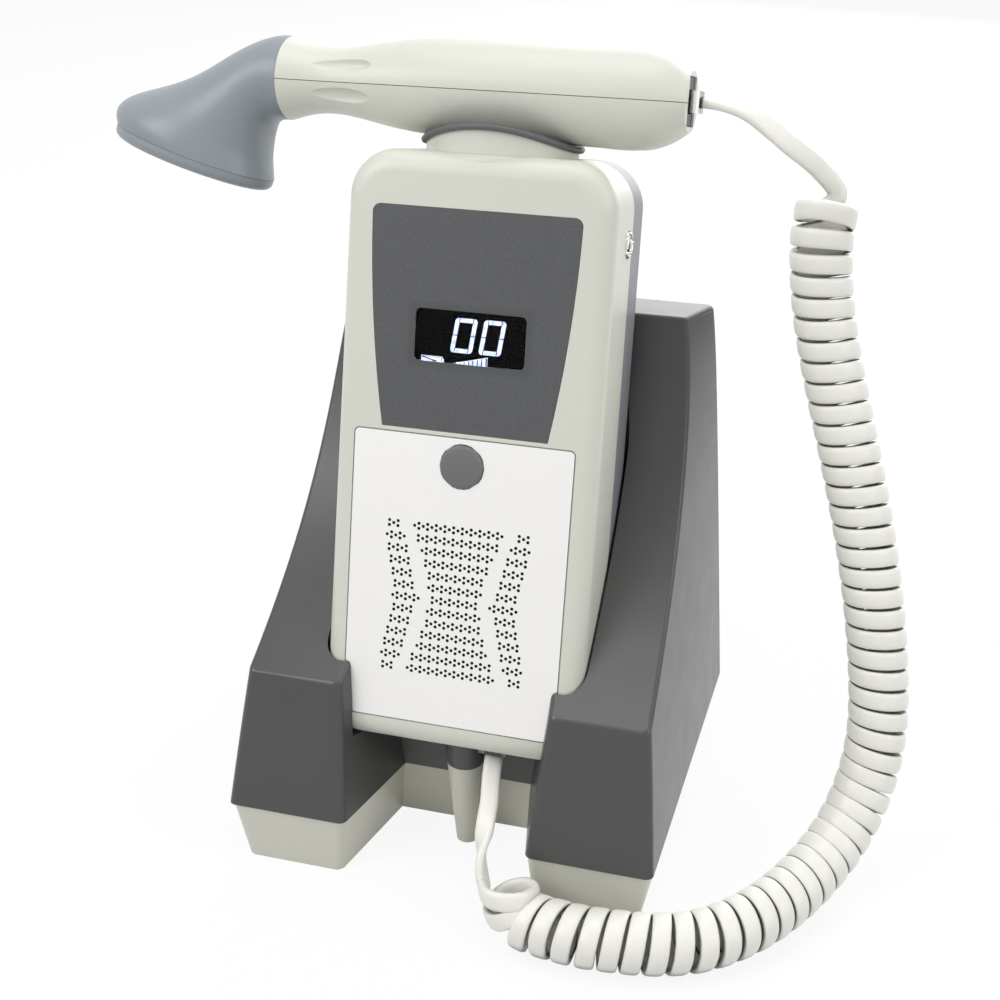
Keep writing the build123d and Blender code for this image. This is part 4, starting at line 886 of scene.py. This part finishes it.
# %% Bead, post foot and nut
POST_MIDDLE, FOOT_RADIUS, FOOT_WALL = 25.5, 24.15, 0.95
FOOT_LOW, FOOT_HIGH = 186.5, 192.4
SADDLE_LOW, SADDLE_RADIUS = 195.7, 60.0
BEAD_RADIUS, BEAD_THICK, BEAD_SIDES = 24.9, 1.0, 14
SOCKET_SIDE, SOCKET_DEEP, SOCKET_HIGH = 42.84, 24.0, 167.0
NOTCH_TURN, NOTCH_HALF, NOTCH_STAND = 0.3, 0.17, 0.2


def ring_of_sections(name, sections):
    """A closed ring: sections are rows of points that lie round it, the first one again as
    the last, and neighbours are joined by four-sided faces."""
    rows, columns = sections.shape[:2]
    return new_piece(name, on_console(sections.reshape(-1, 3)), grid_faces(rows, columns))


def bead(radius, thick, count=160):
    """Round bead: its middle is x = R cos a, y = R sin a, and z = low + S - sqrt(S^2 - y^2)
    less its own radius, and its section is a circle in the plane of out and up."""
    a = np.linspace(0, 2 * math.pi, count + 1)
    out = np.stack([np.cos(a), np.sin(a), np.zeros(len(a))], 1)
    middle = out * radius
    middle[:, 2] = (SADDLE_LOW + SADDLE_RADIUS - thick
                    - np.sqrt(SADDLE_RADIUS ** 2 - middle[:, 1] ** 2))
    middle[:, 1] += POST_MIDDLE
    b = np.linspace(0, 2 * math.pi, BEAD_SIDES, endpoint=False)
    up = np.array([0.0, 0.0, 1.0])
    return (middle[:, None] + thick * (np.cos(b)[None, :, None] * out[:, None]
                                       + np.sin(b)[None, :, None] * up))


def nut(profile, count=96):
    """Turned about the console's x axis: radius against how far it stands out. Four notches,
    a quarter turn apart, cap what stands out at 0.2 mm."""
    profile = np.asarray(profile, float)
    a = np.linspace(0, 2 * math.pi, count + 1)
    notch = np.abs((a + NOTCH_TURN) % (math.pi / 2) - math.pi / 4) < NOTCH_HALF
    capped = np.minimum(profile[None, :, 1], NOTCH_STAND)
    stand = np.where(notch[:, None], capped, profile[None, :, 1])
    return np.stack([SOCKET_SIDE + stand, SOCKET_DEEP + np.cos(a)[:, None] * profile[None, :, 0],
                     SOCKET_HIGH + np.sin(a)[:, None] * profile[None, :, 0]], -1)


def half_wall(outer, wall, low, high, count=80):
    """The front half of a round wall: its section is a rectangle, turned about z."""
    a = np.linspace(math.pi, 2 * math.pi, count)[:, None]
    r = np.array([outer, outer, outer - wall, outer - wall])
    z = np.array([low, high, high, low])
    return np.stack([np.cos(a) * r, POST_MIDDLE + np.sin(a) * r,
                     np.broadcast_to(z, (count, 4))], -1)


saddle_bead = ring_of_sections("saddle_bead", bead(BEAD_RADIUS, BEAD_THICK))
post_foot = ring_of_sections("post_foot", half_wall(FOOT_RADIUS, FOOT_WALL, FOOT_LOW, FOOT_HIGH))
socket_nut = ring_of_sections("socket_nut", nut([
    (3.05, -1.6), (4.05, -1.6), (4.05, 0.6), (3.75, 0.9), (3.3, 0.9), (3.05, 0.65)]))
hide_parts("headphone_nut")
for piece, slot, finish in ((saddle_bead, "rim_rubber", rim_rubber),
                            (post_foot, "front_cream", cream_abs),
                            (socket_nut, "nut_metal", bright_nickel)):
    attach(piece, "console")
    wear(piece, finish)
print("bead", [round(x * 1000, 1) for x in saddle_bead.dimensions])

# %% [markdown]
# ## Floor, backdrop and light
# The photograph was cut out on white. A floor as pale as it can be keeps the soft shadow that
# the object needs to stand on, and what the camera, a mirror or glass sees of the world is
# plain white. The light on the object is one even sky and four large soft lamps, at a level
# where a colour shows about as it is written.

# %% Floor
OWN_LIGHT = 0.84
FLOOR = 6.0


def looked_at(tree):
    """1 for what the camera, a mirror or glass sees, and 0 for light that falls on things."""
    ray = add(tree, "LightPath")
    either = add(tree, "Math", {0: ray.outputs["Is Camera Ray"],
                                1: ray.outputs["Is Glossy Ray"]}, operation="MAXIMUM")
    return add(tree, "Math", {0: either.outputs[0], 1: ray.outputs["Is Transmission Ray"]},
               operation="MAXIMUM").outputs[0]


def floor_paper():
    """White paper: diffuse grey that throws little light back up, mixed with OWN_LIGHT of a
    white glow where it is looked at. What is left of the grey carries the soft shadow."""
    material, tree, place = new_material("Paper, white")
    fibre = add(tree, "TexNoise", {"Vector": place, "Scale": 1000 / 4.0, "Detail": 3.0})
    bump = add(tree, "Bump", {"Height": fibre.outputs["Fac"], "Strength": 0.1,
                              "Distance": 0.0001})
    diffuse = add(tree, "BsdfDiffuse", {"Color": linear("#D2D2D2"),
                                        "Normal": bump.outputs["Normal"]})
    glow = add(tree, "Emission", {"Color": (1.0, 1.0, 1.0, 1.0), "Strength": 1.06})
    share = add(tree, "Math", {0: looked_at(tree), 1: OWN_LIGHT}, operation="MULTIPLY")
    mix = add(tree, "MixShader", {0: share.outputs[0], 1: diffuse.outputs[0],
                                  2: glow.outputs[0]})
    close(tree, mix)
    return material


floor = new_piece("floor", [(-FLOOR, -FLOOR, 0), (FLOOR, -FLOOR, 0), (FLOOR, FLOOR, 0),
                            (-FLOOR, FLOOR, 0)], [[0, 1, 2, 3]])
wear(floor, floor_paper())

# %% Sky and lamps
world = bpy.data.worlds.new("sky")
world.use_nodes = True
sky = world.node_tree
sky.nodes.clear()
level = add(sky, "MapRange", {"Value": looked_at(sky), "To Min": 0.45, "To Max": 1.0})
background = add(sky, "Background", {"Color": (1.0, 1.0, 1.0, 1.0),
                                     "Strength": level.outputs["Result"]})
add(sky, "OutputWorld", {"Surface": background.outputs[0]})
bpy.context.scene.world = world


def lamp(name, place, target, size, watts):
    """A square soft lamp that faces its target."""
    data = bpy.data.lights.new(name, "AREA")
    data.size = size
    data.energy = watts
    light = bpy.data.objects.new(name, data)
    bpy.context.scene.collection.objects.link(light)
    light.location = place
    light.rotation_euler = look(place, target)


MIDDLE = (0.0, 0.0, 0.12)
lamp("lamp_left", (-0.9, -0.9, 1.1), MIDDLE, 0.8, 9.2)
lamp("lamp_right", (1.2, -0.3, 0.7), MIDDLE, 0.8, 4.4)
lamp("lamp_top", (0.0, 0.0, 1.5), MIDDLE, 1.0, 7.0)
lamp("lamp_back", (0.3, 1.5, 0.75), MIDDLE, 1.4, 17.0)
